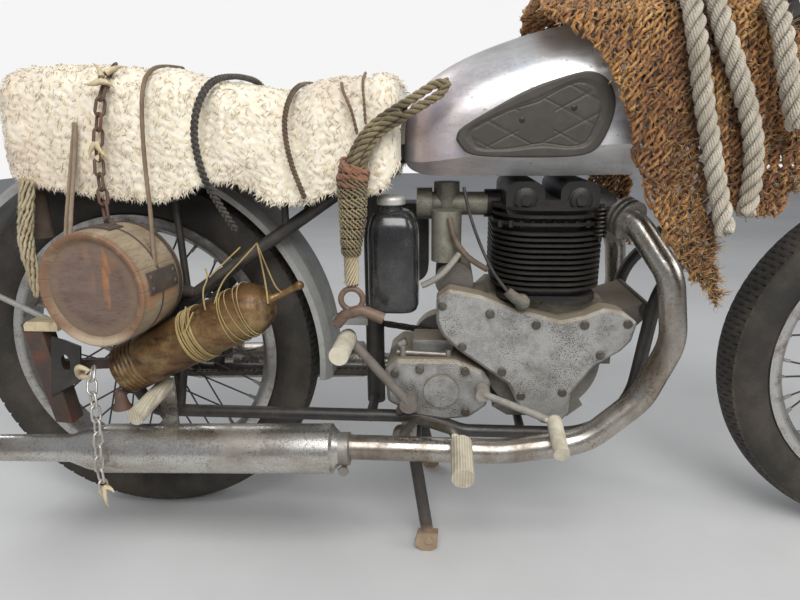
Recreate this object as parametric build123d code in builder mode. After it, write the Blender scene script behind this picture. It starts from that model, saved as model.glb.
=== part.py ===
from build123d import *
import math
import os

os.makedirs("parts", exist_ok=True)

# A vintage parallel twin motorcycle on its centre stand, dressed with fleece, net and rope.
# Millimetres. +X ahead, +Y to the rider's left, +Z up, the floor at Z 0.

# Wheels and steering
wheelbase = 1391
front_tyre_radius = 326
rear_tyre_radius = 328
front_tyre_width = 86
rear_tyre_width = 93
rear_lift = 4
rim_flange_radius = 254
rim_flange_depth = 14
rim_well_depth = 14
rim_half_width = 31
rim_wall = 4
spoke_radius = 1.8
spokes_per_side = 18
hub_flange_radius = 58
hub_barrel_radius = 30
hub_half_width = 34
front_drum_radius = 88
rear_drum_radius = 78
drum_width = 34
sprocket_radius = 86
sprocket_boss_radius = 40
sprocket_thickness = 6
chain_y = 72
axle_radius = 8
bearing_clearance = 0.3
rake = 27
trail = 100
seat_gap = 0.3

# Mudguard
guard_clearance = 34
guard_wall = 2.5
guard_half_width = 60
guard_skirt = 20
guard_front_angle = -7
guard_rear_angle = 165
guard_radius = rear_tyre_radius + guard_clearance
tail_reach = guard_radius + 33

# Places that follow from the wheels
rim_seat_radius = rim_flange_radius - rim_flange_depth
rim_well_radius = rim_seat_radius - rim_well_depth
rear_axle_x = -(wheelbase + front_tyre_radius - tail_reach) / 2
front_axle_x = rear_axle_x + wheelbase
rear_axle_z = rear_tyre_radius + rear_lift
front_axle_z = front_tyre_radius
rake_sine = math.sin(math.radians(rake))
rake_cosine = math.cos(math.radians(rake))
steering_line = Plane(
    origin=(front_axle_x + trail, 0, 0),
    x_dir=(rake_cosine, 0, rake_sine),
    z_dir=(-rake_sine, 0, rake_cosine),
)
fork_offset = front_axle_z * rake_sine - trail * rake_cosine
fork_axle_height = front_axle_z * rake_cosine + trail * rake_sine

# Seat, carried over the mudguard
guard_to_pan = 3
seat_rear = -140
seat_front = 480
seat_half_width = 142
seat_skirt_depth = 57
fleece_height = 127
seat_cavity_half_width = 92
seat_pan_thickness = 5
seat_pan_z = rear_axle_z + guard_radius + guard_to_pan
seat_skirt_z = seat_pan_z - seat_skirt_depth
seat_top_z = seat_pan_z + fleece_height

# Steering head, yokes, fork and handlebar, heights along the steering line
head_bottom = 790
head_top = 945
head_radius = 26
stem_radius = 14
stem_clearance = 0.3
yoke_gap = 4
yoke_thickness = 26
leg_spacing = 90
stanchion_radius = 17
slider_radius = 25
slider_top = 590
slider_below_axle = 28
bar_radius = 11
bar_clamp_height = 32
bar_half_width = 355
bar_rise = 118
bar_sweep = 160
grip_radius = 16.5
grip_length = 125
lamp_radius = 86
lamp_ahead = 70
lamp_level = 858

# Frame
tube_radius = 11
spine_radius = 16
seat_tube_radius = 17
rail_y = 100
rail_height = 243
cradle_height = 218
gearbox_cover_y = 112
seat_tube_x = rear_axle_x + 436
seat_lug_height = seat_pan_z - seat_tube_radius
head_lug_height = 760
axle_plate_thickness = 10
stay_top = (400, 66, seat_lug_height - 44)
stay_bend = (130, 105, 453)
brace_foot_x = 88

# Centre stand
stand_pivot_x = rear_axle_x + 505
stand_pivot_drop = 30  # the pivot's height under the lower rails
stand_pivot_z = rail_height - stand_pivot_drop
stand_foot_x = rear_axle_x + 542
stand_foot_y = 138
stand_pivot_y = 84
stand_leg_radius = 11
stand_pin_radius = 7

# Engine
cylinder_x = rear_axle_x + 731
crank_z = 345
crankcase_radius = 98
crankcase_half_width = 80
barrel_base_z = 457
head_joint_z = 577
fin_count = 11
fin_length = 178
fin_width = 240
fin_corner = 68
fin_thickness = 3.6
barrel_core_length = 136
barrel_core_width = 196
rocker_top_z = 647
cover_outer_y = 118

# Tank
tank_bottom_z = 656
knee_pad_y = 140

# Exhaust
pipe_radius = 20
pipe_wall_y = 176
silencer_radius = 40
silencer_y = 197
tail_pipe_radius = 22

# Drive
front_sprocket_radius = 35
front_sprocket_place = (rear_axle_x + 545, 300)
chain_height = 10
chain_width = 12

# Dressing
net_thickness = 22
rope_radius = 14


def from_axle(points):
    """Side view points, given ahead of the rear axle and above the floor, in the part's frame."""
    return [(rear_axle_x + ahead, up) for ahead, up in points]


def right_side(distance):
    """A side view plane that far out on the rider's right; it extrudes outwards."""
    return Plane.XZ.offset(distance)


def bent_tube(route, radius, bend, seats=()):
    """A round tube along straight runs with bends, cut back to the pieces that it meets."""
    with BuildPart() as tube:
        with BuildLine() as path:
            FilletPolyline(*route, radius=bend)
        with BuildSketch(Plane(origin=path.line @ 0, z_dir=path.line % 0)):
            Circle(radius)
        sweep()
        for seat in seats:
            add(seat, mode=Mode.SUBTRACT)
    return tube.part


def straight_rod(start, end, radius, seats=()):
    """A round rod between two points, cut back to the pieces that it meets."""
    run = Vector(*end) - Vector(*start)
    with BuildPart() as rod:
        with BuildSketch(Plane(origin=start, z_dir=run)):
            Circle(radius)
        extrude(amount=run.length)
        for seat in seats:
            add(seat, mode=Mode.SUBTRACT)
    return rod.part


def left_copy(piece):
    with BuildPart() as copy:
        add(mirror(piece, about=Plane.XZ))
    return copy.part


def tyre_solid(axle_x, axle_z, outer_radius, width):
    """A tyre's closed section, bead to crown, turned about the axle."""
    half = width / 2
    bead = rim_half_width - rim_wall - seat_gap
    crown = outer_radius
    with BuildPart() as tyre:
        with BuildSketch(Plane.YZ.offset(axle_x)):
            with BuildLine():
                Polyline(
                    (-bead, axle_z + rim_flange_radius + seat_gap),
                    (-bead, axle_z + rim_seat_radius + seat_gap),
                    (bead, axle_z + rim_seat_radius + seat_gap),
                    (bead, axle_z + rim_flange_radius + seat_gap),
                )
                ThreePointArc(
                    (bead, axle_z + rim_flange_radius + seat_gap),
                    (half - 2, axle_z + rim_flange_radius + (crown - rim_flange_radius) * 0.3),
                    (half - 4, axle_z + crown - 22),
                )
                ThreePointArc(
                    (half - 4, axle_z + crown - 22),
                    (0, axle_z + crown),
                    (-half + 4, axle_z + crown - 22),
                )
                ThreePointArc(
                    (-half + 4, axle_z + crown - 22),
                    (-half + 2, axle_z + rim_flange_radius + (crown - rim_flange_radius) * 0.3),
                    (-bead, axle_z + rim_flange_radius + seat_gap),
                )
            make_face()
        revolve(axis=Axis((axle_x, 0, axle_z), (0, 1, 0)))
    return tyre.part


def spoked_wheel(axle_x, axle_z, drum_radius, drum_side):
    """A rolled steel rim laced to a hub with a brake drum on one side."""
    spokes = []
    for side in (-1, 1):
        for count in range(spokes_per_side):
            lean = 42 if count % 2 else -42
            at_rim = math.radians(360 / spokes_per_side * (count + side / 4 + 0.25))
            at_hub = at_rim + math.radians(lean)
            foot_radius = hub_flange_radius - 6
            foot = Vector(axle_x + foot_radius * math.cos(at_hub), side * (hub_half_width - 3),
                          axle_z + foot_radius * math.sin(at_hub))
            tip = Vector(axle_x + (rim_well_radius + 4) * math.cos(at_rim), side * 6,
                         axle_z + (rim_well_radius + 4) * math.sin(at_rim))
            with BuildPart() as spoke:
                with BuildSketch(Plane(origin=foot, z_dir=tip - foot)):
                    RegularPolygon(spoke_radius, 6)
                extrude(amount=(tip - foot).length)
            spokes.append(spoke.part)
    with BuildPart() as wheel:
        with BuildSketch(Plane.YZ.offset(axle_x)):
            with BuildLine():
                Polyline(
                    (-rim_half_width, axle_z + rim_flange_radius),
                    (-rim_half_width + rim_wall, axle_z + rim_flange_radius),
                    (-rim_half_width + rim_wall, axle_z + rim_seat_radius),
                    (rim_half_width - rim_wall, axle_z + rim_seat_radius),
                    (rim_half_width - rim_wall, axle_z + rim_flange_radius),
                    (rim_half_width, axle_z + rim_flange_radius),
                    (rim_half_width - 1, axle_z + rim_seat_radius - rim_wall),
                    (rim_half_width / 2, axle_z + rim_well_radius),
                    (-rim_half_width / 2, axle_z + rim_well_radius),
                    (-rim_half_width + 1, axle_z + rim_seat_radius - rim_wall),
                    close=True,
                )
            make_face()
        revolve(axis=Axis((axle_x, 0, axle_z), (0, 1, 0)))
        with Locations(Plane(origin=(axle_x, 0, axle_z), z_dir=(0, 1, 0))):
            Cylinder(hub_barrel_radius, 2 * hub_half_width)
            for side in (-1, 1):
                with Locations((0, 0, side * (hub_half_width - 3))):
                    Cylinder(hub_flange_radius, 6)
            with Locations((0, 0, drum_side * (hub_half_width - 4 + drum_width / 2 - 10))):
                Cylinder(drum_radius, drum_width)
        add(spokes)
        with Locations(Plane(origin=(axle_x, 0, axle_z), z_dir=(0, 1, 0))):
            Cylinder(axle_radius + bearing_clearance, 4 * hub_half_width, mode=Mode.SUBTRACT)
    return wheel.part


# Rear wheel
with BuildPart() as rear_tyre:
    add(tyre_solid(rear_axle_x, rear_axle_z, rear_tyre_radius, rear_tyre_width))
rear_tyre.part.label = "rear_tyre"
export_step(rear_tyre.part, "parts/rear_tyre.step")

with BuildPart() as rear_wheel:
    add(spoked_wheel(rear_axle_x, rear_axle_z, rear_drum_radius, 1))
    with Locations(Plane(origin=(rear_axle_x, chain_y, rear_axle_z), z_dir=(0, 1, 0))):
        Cylinder(sprocket_radius, sprocket_thickness)
        with Locations((0, 0, (hub_half_width - chain_y) / 2)):
            Cylinder(sprocket_boss_radius, chain_y - hub_half_width + sprocket_thickness + 2)
        Cylinder(axle_radius + bearing_clearance, 4 * hub_half_width, mode=Mode.SUBTRACT)
rear_wheel.part.label = "rear_wheel"
export_step(rear_wheel.part, "parts/rear_wheel.step")

# Front wheel
with BuildPart() as front_tyre:
    add(tyre_solid(front_axle_x, front_axle_z, front_tyre_radius, front_tyre_width))
front_tyre.part.label = "front_tyre"
export_step(front_tyre.part, "parts/front_tyre.step")

with BuildPart() as front_wheel:
    add(spoked_wheel(front_axle_x, front_axle_z, front_drum_radius, 1))
front_wheel.part.label = "front_wheel"
export_step(front_wheel.part, "parts/front_wheel.step")

# Frame: head and spine with the seat tube
spine_front = (steering_line.from_local_coords(Vector(0, 0, head_lug_height / rake_cosine)).X, 0, head_lug_height)
spine_rear = (seat_tube_x, 0, seat_lug_height)
with BuildPart() as head_core:
    with Locations(steering_line.offset((head_bottom + head_top) / 2)):
        Cylinder(head_radius, head_top - head_bottom)
with BuildPart() as frame_spine:
    add(head_core.part)
    with BuildSketch(Plane(origin=spine_rear, z_dir=Vector(*spine_front) - Vector(*spine_rear))):
        Circle(spine_radius)
    extrude(amount=(Vector(*spine_front) - Vector(*spine_rear)).length)
    with Locations((seat_tube_x, 0, (seat_lug_height + rail_height) / 2)):
        Cylinder(seat_tube_radius, seat_lug_height - rail_height + 34)
    with Locations(Plane(origin=(seat_tube_x, 0, seat_lug_height - 22), z_dir=(0, 1, 0))):
        Cylinder(20, 104)
    with Locations(Plane(origin=(seat_tube_x, 0, rail_height - 4), z_dir=(0, 1, 0))):
        Cylinder(9, 2 * rail_y)
    with Locations(steering_line.offset((head_bottom + head_top) / 2)):
        Cylinder(stem_radius + stem_clearance, 2 * (head_top - head_bottom), mode=Mode.SUBTRACT)
frame_spine.part.label = "frame_spine"
export_step(frame_spine.part, "parts/frame_spine.step")

# Frame: the duplex cradle tubes, each from the head lug under the engine to the axle plate
down_tube_top = steering_line.from_local_coords(Vector(-12, 0, head_bottom + 34))
cradle_route = [
    (down_tube_top.X, -14, down_tube_top.Z),
    (rear_axle_x + 905, -rail_y + 4, 470),
    (rear_axle_x + 872, -rail_y, cradle_height),
    (rear_axle_x + 600, -rail_y, cradle_height),
    (rear_axle_x + 530, -rail_y, rail_height),
    (rear_axle_x + 40, -rail_y, rail_height),
    (rear_axle_x, -rail_y + 12, rear_axle_z - 34),
]
frame_cradle_right = bent_tube(cradle_route, tube_radius, [120, 120, 60, 60, 40], [head_core.part, frame_spine.part])
frame_cradle_right.label = "frame_cradle_right"
export_step(frame_cradle_right, "parts/frame_cradle_right.step")
frame_cradle_left = left_copy(frame_cradle_right)
frame_cradle_left.label = "frame_cradle_left"
export_step(frame_cradle_left, "parts/frame_cradle_left.step")

# Frame: each rear stay with its axle plate and the brace with its web
stay_route = [
    (seat_tube_x, -38, seat_lug_height - 22),
    (rear_axle_x + stay_top[0], -stay_top[1], stay_top[2]),
    (rear_axle_x + stay_bend[0], -stay_bend[1], stay_bend[2]),
    (rear_axle_x, -rail_y + 12, rear_axle_z + 26),
]
with BuildPart() as frame_stay_right:
    add(bent_tube(stay_route, tube_radius, [30, 60]))
    with BuildSketch(right_side(rail_y - 17)):
        with Locations((rear_axle_x, rear_axle_z)):
            SlotCenterToCenter(80, 44, rotation=90)
    extrude(amount=axle_plate_thickness)
    add(straight_rod((rear_axle_x + stay_bend[0] - 4, -stay_bend[1], stay_bend[2] - 4),
                     (rear_axle_x + brace_foot_x, -rail_y, rail_height), tube_radius))
    with BuildSketch(right_side(rail_y - 2)):
        Polygon(*from_axle([(84, 424), (176, 484), (150, 440), (116, 396), (108, 380)]), align=None)
    extrude(amount=8)
    add(frame_cradle_right, mode=Mode.SUBTRACT)
    add(frame_spine.part, mode=Mode.SUBTRACT)
    with Locations(Plane(origin=(rear_axle_x, -rail_y, rear_axle_z), z_dir=(0, 1, 0))):
        Cylinder(axle_radius + seat_gap, 80, mode=Mode.SUBTRACT)
frame_stay_right.part.label = "frame_stay_right"
export_step(frame_stay_right.part, "parts/frame_stay_right.step")
frame_stay_left = left_copy(frame_stay_right.part)
frame_stay_left.label = "frame_stay_left"
export_step(frame_stay_left, "parts/frame_stay_left.step")

# Axles with their nuts
with BuildPart() as rear_axle:
    with Locations(Plane(origin=(rear_axle_x, 0, rear_axle_z), z_dir=(0, 1, 0))):
        Cylinder(axle_radius, 2 * (rail_y + 14))
    for side in (-1, 1):
        nut_middle = side * (rail_y + 6)
        with BuildSketch(Plane(origin=(rear_axle_x, nut_middle - 5, rear_axle_z), z_dir=(0, 1, 0))):
            RegularPolygon(15, 6)
        extrude(amount=10)
    add(frame_stay_right.part, mode=Mode.SUBTRACT)
    add(frame_stay_left, mode=Mode.SUBTRACT)
rear_axle.part.label = "rear_axle"
export_step(rear_axle.part, "parts/rear_axle.step")

# Steering: yokes on their stem
lower_yoke = head_bottom - yoke_gap - yoke_thickness
upper_yoke = head_top + yoke_gap
with BuildPart() as fork_yokes:
    for level in (lower_yoke, upper_yoke):
        with BuildSketch(steering_line.offset(level)):
            with Locations((fork_offset, leg_spacing), (fork_offset, -leg_spacing)):
                Circle(stanchion_radius + 12)
            Circle(head_radius)
            with BuildLine():
                Polyline((0, -head_radius), (fork_offset + 6, -leg_spacing - 14), (fork_offset + 6, leg_spacing + 14),
                         (0, head_radius), close=True)
            make_face()
        extrude(amount=yoke_thickness)
    with Locations(steering_line.offset((lower_yoke + upper_yoke + yoke_thickness) / 2)):
        Cylinder(stem_radius, upper_yoke + yoke_thickness - lower_yoke + 14)
    with Locations(steering_line.offset(upper_yoke + yoke_thickness)):
        for side in (-1, 1):
            with Locations((fork_offset / 2, side * 34, bar_clamp_height / 2 + 4)):
                Box(30, 22, bar_clamp_height + 8)
    for side in (-1, 1):
        with Locations(steering_line.offset((lower_yoke + upper_yoke) / 2)):
            with Locations((fork_offset, side * leg_spacing, 0)):
                Cylinder(stanchion_radius, 400, mode=Mode.SUBTRACT)
    bar_centre = steering_line.from_local_coords(
        Vector(fork_offset / 2, 0, upper_yoke + yoke_thickness + bar_clamp_height))
    with Locations(Plane(origin=bar_centre, z_dir=(0, 1, 0))):
        Cylinder(bar_radius, 140, mode=Mode.SUBTRACT)
fork_yokes.part.label = "fork_yokes"
export_step(fork_yokes.part, "parts/fork_yokes.step")

# Steering: telescopic legs
with BuildPart() as fork_legs:
    for side in (-1, 1):
        with Locations(steering_line):
            with Locations((fork_offset, side * leg_spacing, 0)):
                with Locations((0, 0, (slider_top + fork_axle_height - slider_below_axle) / 2)):
                    Cylinder(slider_radius, slider_top - fork_axle_height + slider_below_axle)
                with Locations((0, 0, (slider_top + upper_yoke + yoke_thickness) / 2)):
                    Cylinder(stanchion_radius, upper_yoke + yoke_thickness - slider_top)
                with Locations((0, 0, (slider_top + lower_yoke) / 2)):
                    Cylinder(slider_radius + 3, lower_yoke - slider_top - 2)
    with Locations(Plane(origin=(front_axle_x, 0, front_axle_z), z_dir=(0, 1, 0))):
        Cylinder(axle_radius, 400, mode=Mode.SUBTRACT)
fork_legs.part.label = "fork_legs"
export_step(fork_legs.part, "parts/fork_legs.step")

with BuildPart() as front_axle:
    with Locations(Plane(origin=(front_axle_x, 0, front_axle_z), z_dir=(0, 1, 0))):
        Cylinder(axle_radius, 2 * (leg_spacing + slider_radius + 12))
front_axle.part.label = "front_axle"
export_step(front_axle.part, "parts/front_axle.step")

# Steering: handlebar, grips and levers
bar_half_route = [
    (bar_centre.X, 0, bar_centre.Z),
    (bar_centre.X, 74, bar_centre.Z),
    (bar_centre.X - 12, 140, bar_centre.Z + bar_rise),
    (bar_centre.X - 0.35 * bar_sweep, 215, bar_centre.Z + bar_rise + 4),
    (bar_centre.X - bar_sweep, bar_half_width, bar_centre.Z + bar_rise - 6),
]
with BuildPart() as handlebar:
    add(bent_tube(bar_half_route, bar_radius, [34, 34, 60]))
    mirror(about=Plane.XZ)
handlebar.part.label = "handlebar"
export_step(handlebar.part, "parts/handlebar.step")

grip_end = Vector(*bar_half_route[-1])
grip_run = (Vector(*bar_half_route[-2]) - grip_end).normalized()
with BuildPart() as grips:
    with BuildSketch(Plane(origin=grip_end, z_dir=grip_run)):
        Circle(grip_radius)
        Circle(bar_radius, mode=Mode.SUBTRACT)
    extrude(amount=grip_length)
    mirror(about=Plane.XZ)
grips.part.label = "grips"
export_step(grips.part, "parts/grips.step")

# Headlamp in two ears from the fork covers
fork_middle = steering_line.from_local_coords(Vector(fork_offset, 0, lamp_level))
lamp_centre = (fork_middle.X + lamp_ahead, 0, fork_middle.Z)
lamp_section = [(-58, 0), (-54, 26), (-36, 54), (0, 76), (44, lamp_radius), (60, lamp_radius), (60, 0)]
with BuildPart() as headlamp:
    with BuildSketch(Plane.XZ):
        with BuildLine():
            Polyline(*[(lamp_centre[0] + ahead, lamp_centre[2] + out) for ahead, out in lamp_section], close=True)
        make_face()
    revolve(axis=Axis((lamp_centre[0], 0, lamp_centre[2]), (1, 0, 0)))
    for side in (-1, 1):
        with Locations(((lamp_centre[0] + fork_middle.X) / 2, side * leg_spacing, lamp_centre[2])):
            Box(lamp_ahead - 4, 8, 44)
        with Locations(Plane(origin=(lamp_centre[0], side * (leg_spacing + 50) / 2, lamp_centre[2]), z_dir=(0, 1, 0))):
            Cylinder(10, leg_spacing - 50)
    add(fork_legs.part, mode=Mode.SUBTRACT)
headlamp.part.label = "headlamp"
export_step(headlamp.part, "parts/headlamp.step")

# Centre stand: two legs splayed to their feet, a cross tube, turning on a pin under the rails
leg_run = Vector(stand_foot_x - stand_pivot_x, stand_foot_y - stand_pivot_y, -stand_pivot_z)
cross_share = 0.24
with BuildPart() as centre_stand:
    for side in (-1, 1):
        pivot = Vector(stand_pivot_x, side * stand_pivot_y, stand_pivot_z)
        foot = Vector(stand_foot_x, side * stand_foot_y, 14)
        with BuildSketch(Plane(origin=pivot, z_dir=foot - pivot)):
            Circle(stand_leg_radius)
        extrude(amount=(foot - pivot).length)
        with Locations(Plane(origin=pivot, z_dir=(0, 1, 0))):
            Cylinder(13, 22)
        with BuildSketch(Plane.XZ.offset(-side * stand_foot_y - 7)):
            Polygon((stand_foot_x - 20, 38), (stand_foot_x + 16, 38), (stand_foot_x + 14, 8),
                    (stand_foot_x + 2, 0), (stand_foot_x - 12, 0), (stand_foot_x - 26, 12), align=None)
        extrude(amount=14)
    with Locations(Plane(origin=(stand_pivot_x + leg_run.X * cross_share, 0, stand_pivot_z + leg_run.Z * cross_share),
                         z_dir=(0, 1, 0))):
        Cylinder(9, 2 * (stand_pivot_y + leg_run.Y * cross_share))
    with Locations(Plane(origin=(stand_pivot_x, 0, stand_pivot_z), z_dir=(0, 1, 0))):
        Cylinder(stand_pin_radius + bearing_clearance, 400, mode=Mode.SUBTRACT)
centre_stand.part.label = "centre_stand"
export_step(centre_stand.part, "parts/centre_stand.step")

# Stand bracket: a pin hung under the cradle rails in two lugs
with BuildPart() as stand_bracket:
    with Locations(Plane(origin=(stand_pivot_x, 0, stand_pivot_z), z_dir=(0, 1, 0))):
        Cylinder(stand_pin_radius, 2 * (rail_y + 12))
    for side in (-1, 1):
        with BuildSketch(Plane.XZ.offset(-side * (rail_y + 5) - 4)):
            with Locations((stand_pivot_x, (stand_pivot_z + rail_height - 12) / 2)):
                SlotCenterToCenter(rail_height - stand_pivot_z - 12, 26, rotation=90)
        extrude(amount=8)
    add(frame_cradle_right, mode=Mode.SUBTRACT)
    add(frame_cradle_left, mode=Mode.SUBTRACT)
stand_bracket.part.label = "stand_bracket"
export_step(stand_bracket.part, "parts/stand_bracket.step")

# Crankcase: round case, cylinder mouth, front and rear mounting arms
with BuildPart() as crankcase:
    with BuildSketch(right_side(-crankcase_half_width)):
        with Locations((cylinder_x, crank_z)):
            Circle(crankcase_radius)
        Polygon(*from_axle([(602, 340), (602, 420), (640, barrel_base_z), (822, barrel_base_z), (846, 420),
                            (846, 340)]), align=None)
        Polygon(*from_axle([(820, 425), (898, 450), (904, 430), (846, 370), (820, 360)]), align=None)
        Polygon(*from_axle([(690, 300), (650, 256), (676, 240), (780, 240), (806, 262), (780, 300)]), align=None)
    extrude(amount=2 * crankcase_half_width)
    add(frame_cradle_right, mode=Mode.SUBTRACT)
    add(frame_cradle_left, mode=Mode.SUBTRACT)
crankcase.part.label = "crankcase"
export_step(crankcase.part, "parts/crankcase.step")

# Engine mounts: through bolts with spacers from the crankcase out to the cradle tubes
spacer_reach = rail_y - tube_radius - seat_gap
with BuildPart() as engine_mount:
    with Locations(Plane(origin=(rear_axle_x + 896, 0, 438), z_dir=(0, 1, 0))):
        Cylinder(11, 2 * (spacer_reach - 3.5))
    with Locations(Plane(origin=(rear_axle_x + 700, 0, cradle_height), z_dir=(0, 1, 0))):
        Cylinder(8, 2 * spacer_reach)
    with Locations((rear_axle_x + 700, 0, cradle_height + 14)):
        Box(24, 30, 24)
    add(crankcase.part, mode=Mode.SUBTRACT)
engine_mount.part.label = "engine_mount"
export_step(engine_mount.part, "parts/engine_mount.step")

# Barrel: one cast block of two cylinders with its fins
fin_pitch = (head_joint_z - barrel_base_z - 22) / fin_count
with BuildPart() as barrel:
    with BuildSketch(Plane.XY.offset(barrel_base_z)):
        with Locations((cylinder_x, 0)):
            RectangleRounded(barrel_core_length, barrel_core_width, 40)
    extrude(amount=head_joint_z - barrel_base_z)
    with BuildSketch(Plane.XY.offset(barrel_base_z)):
        with Locations((cylinder_x, 0)):
            RectangleRounded(barrel_core_length + 24, barrel_core_width + 14, 30)
    extrude(amount=8)
    for level in range(fin_count):
        with BuildSketch(Plane.XY.offset(barrel_base_z + 20 + level * fin_pitch)):
            with Locations((cylinder_x, 0)):
                RectangleRounded(fin_length, fin_width, fin_corner)
        extrude(amount=fin_thickness)
barrel.part.label = "barrel"
export_step(barrel.part, "parts/barrel.step")

# Cylinder head: joint, three fins, ports and the two rocker boxes
with BuildPart() as cylinder_head:
    with BuildSketch(Plane.XY.offset(head_joint_z)):
        with Locations((cylinder_x, 0)):
            RectangleRounded(barrel_core_length + 10, barrel_core_width + 10, 40)
    extrude(amount=42)
    for level in range(3):
        with BuildSketch(Plane.XY.offset(head_joint_z + 4 + level * 12)):
            with Locations((cylinder_x, 0)):
                RectangleRounded(fin_length, fin_width, fin_corner)
        extrude(amount=4)
    for along in (-42, 42):
        with BuildSketch(Plane.XZ.offset(-barrel_core_width / 2)):
            with Locations((cylinder_x + along, rocker_top_z - 28)):
                RectangleRounded(60, 56, 18)
        extrude(amount=barrel_core_width)
    for side in (-1, 1):
        with Locations(Plane(origin=(cylinder_x + 70, side * 70, head_joint_z + 26), z_dir=(1, 0, 0))):
            Cylinder(25, 60)
    with Locations(Plane(origin=(cylinder_x - 80, 0, head_joint_z + 26), z_dir=(1, 0, 0))):
        Cylinder(24, 40)
cylinder_head.part.label = "cylinder_head"
export_step(cylinder_head.part, "parts/cylinder_head.step")

# Timing cover on the rider's right
cover_outline = from_axle([
    (551, 420), (551, 462), (572, 478), (622, 468), (672, 448), (752, 427), (790, 436), (820, 449), (848, 444),
    (874, 425), (867, 394), (852, 376), (812, 350), (777, 300), (775, 262), (757, 240), (732, 243), (691, 274),
    (672, 314), (618, 352), (589, 372), (562, 398),
])
cover_screws = from_axle([
    (561, 450), (638, 438), (713, 420), (790, 421), (858, 424), (594, 380), (661, 337), (694, 294), (762, 302),
    (819, 370),
])
with BuildPart() as cover_screw:
    with BuildSketch(Plane.XZ.offset(-1)):
        Circle(6.5)
    extrude(amount=3.5)
    with BuildSketch(Plane.XZ.offset(1.3)):
        Rectangle(14, 1.8, rotation=25)
    extrude(amount=2, mode=Mode.SUBTRACT)
with BuildPart() as timing_cover:
    with BuildSketch(right_side(crankcase_half_width)) as cover_face:
        Polygon(*cover_outline, align=None)
        fillet(cover_face.vertices(), 9)
    extrude(amount=cover_outer_y - crankcase_half_width)
    chamfer(timing_cover.faces().sort_by(Axis.Y)[0].edges(), 5)
    with Locations(*[(ahead, -cover_outer_y, up) for ahead, up in cover_screws]):
        add(cover_screw.part)
timing_cover.part.label = "timing_cover"
export_step(timing_cover.part, "parts/timing_cover.step")

# Gearbox with its end cover and round cap on the rider's right
gearbox_outline = from_axle([
    (464, 333), (486, 352), (585, 353), (630, 334), (644, 312), (638, 270), (608, 247), (567, 242), (519, 248),
    (468, 274),
])
gearbox_inner_y = 40
gearbox_screws = from_axle([(524, 338), (600, 336), (602, 262), (482, 330), (490, 262)])
with BuildPart() as gearbox:
    with BuildSketch(right_side(-gearbox_inner_y)) as gearbox_face:
        Polygon(*gearbox_outline, align=None)
        fillet(gearbox_face.vertices(), 12)
    extrude(amount=gearbox_cover_y + gearbox_inner_y)
    chamfer(gearbox.faces().sort_by(Axis.Y)[0].edges(), 6)
    with Locations(Plane(origin=(rear_axle_x + 560, -gearbox_cover_y, 298), z_dir=(0, -1, 0))):
        Cylinder(29, 10)
    with Locations((rear_axle_x + 545, -40, 362)):
        Box(70, 60, 24)
    with Locations(Plane(origin=(front_sprocket_place[0], 58, front_sprocket_place[1]), z_dir=(0, 1, 0))):
        Cylinder(18, 36)
    with Locations(Plane(origin=(front_sprocket_place[0], chain_y, front_sprocket_place[1]), z_dir=(0, 1, 0))):
        Cylinder(front_sprocket_radius, 6)
    with Locations(*[(ahead, -gearbox_cover_y, up) for ahead, up in gearbox_screws]):
        add(cover_screw.part)
    for seat in (frame_spine.part, frame_cradle_right, stand_bracket.part, crankcase.part, timing_cover.part):
        add(seat, mode=Mode.SUBTRACT)
gearbox.part.label = "gearbox"
export_step(gearbox.part, "parts/gearbox.step")

# Primary chaincase on the rider's left, from crankshaft to clutch
with BuildPart() as primary_case:
    with BuildSketch(right_side(-crankcase_half_width)):
        with BuildLine():
            Polyline(*from_axle([(560, 376), (735, 430), (735, 264), (560, 264)]), close=True)
        make_face()
        with Locations(*from_axle([(560, 320)])):
            Circle(56)
        with Locations(*from_axle([(735, 347)])):
            Circle(83)
    extrude(amount=-(cover_outer_y - crankcase_half_width))
    for seat in (frame_cradle_left, crankcase.part, stand_bracket.part):
        add(seat, mode=Mode.SUBTRACT)
primary_case.part.label = "primary_case"
export_step(primary_case.part, "parts/primary_case.step")

# Magneto behind the cylinders, flat on the timing side
with BuildPart() as magneto:
    with Locations(Plane(origin=(rear_axle_x + 580, 0, 482), z_dir=(0, 1, 0))):
        Cylinder(32, 150)
    with Locations((rear_axle_x + 580, 0, 450)):
        Box(52, 120, 26)
    with Locations((rear_axle_x + 612, 0, 440)):
        Box(60, 60, 26)
    for seat in (crankcase.part, timing_cover.part, barrel.part):
        add(seat, mode=Mode.SUBTRACT)
magneto.part.label = "magneto"
export_step(magneto.part, "parts/magneto.step")

# Carburettor: flanged body to the inlet, mixing chamber, bowl and bell mouth
with BuildPart() as carburettor:
    with Locations(Plane(origin=(rear_axle_x + 587, -6, head_joint_z + 26), z_dir=(1, 0, 0))):
        Cylinder(20, 96)
    with Locations((rear_axle_x + 566, -6, 596)):
        Cylinder(22, 88)
    with Locations((rear_axle_x + 566, -58, 556)):
        Cylinder(25, 84)
    with Locations((rear_axle_x + 566, -34, 560)):
        Box(24, 40, 18)
    with Locations(Plane(origin=(rear_axle_x + 528, -6, head_joint_z + 26), z_dir=(-1, 0, 0))):
        Cylinder(27, 26)
    add(cylinder_head.part, mode=Mode.SUBTRACT)
carburettor.part.label = "carburettor"
export_step(carburettor.part, "parts/carburettor.step")


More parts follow.
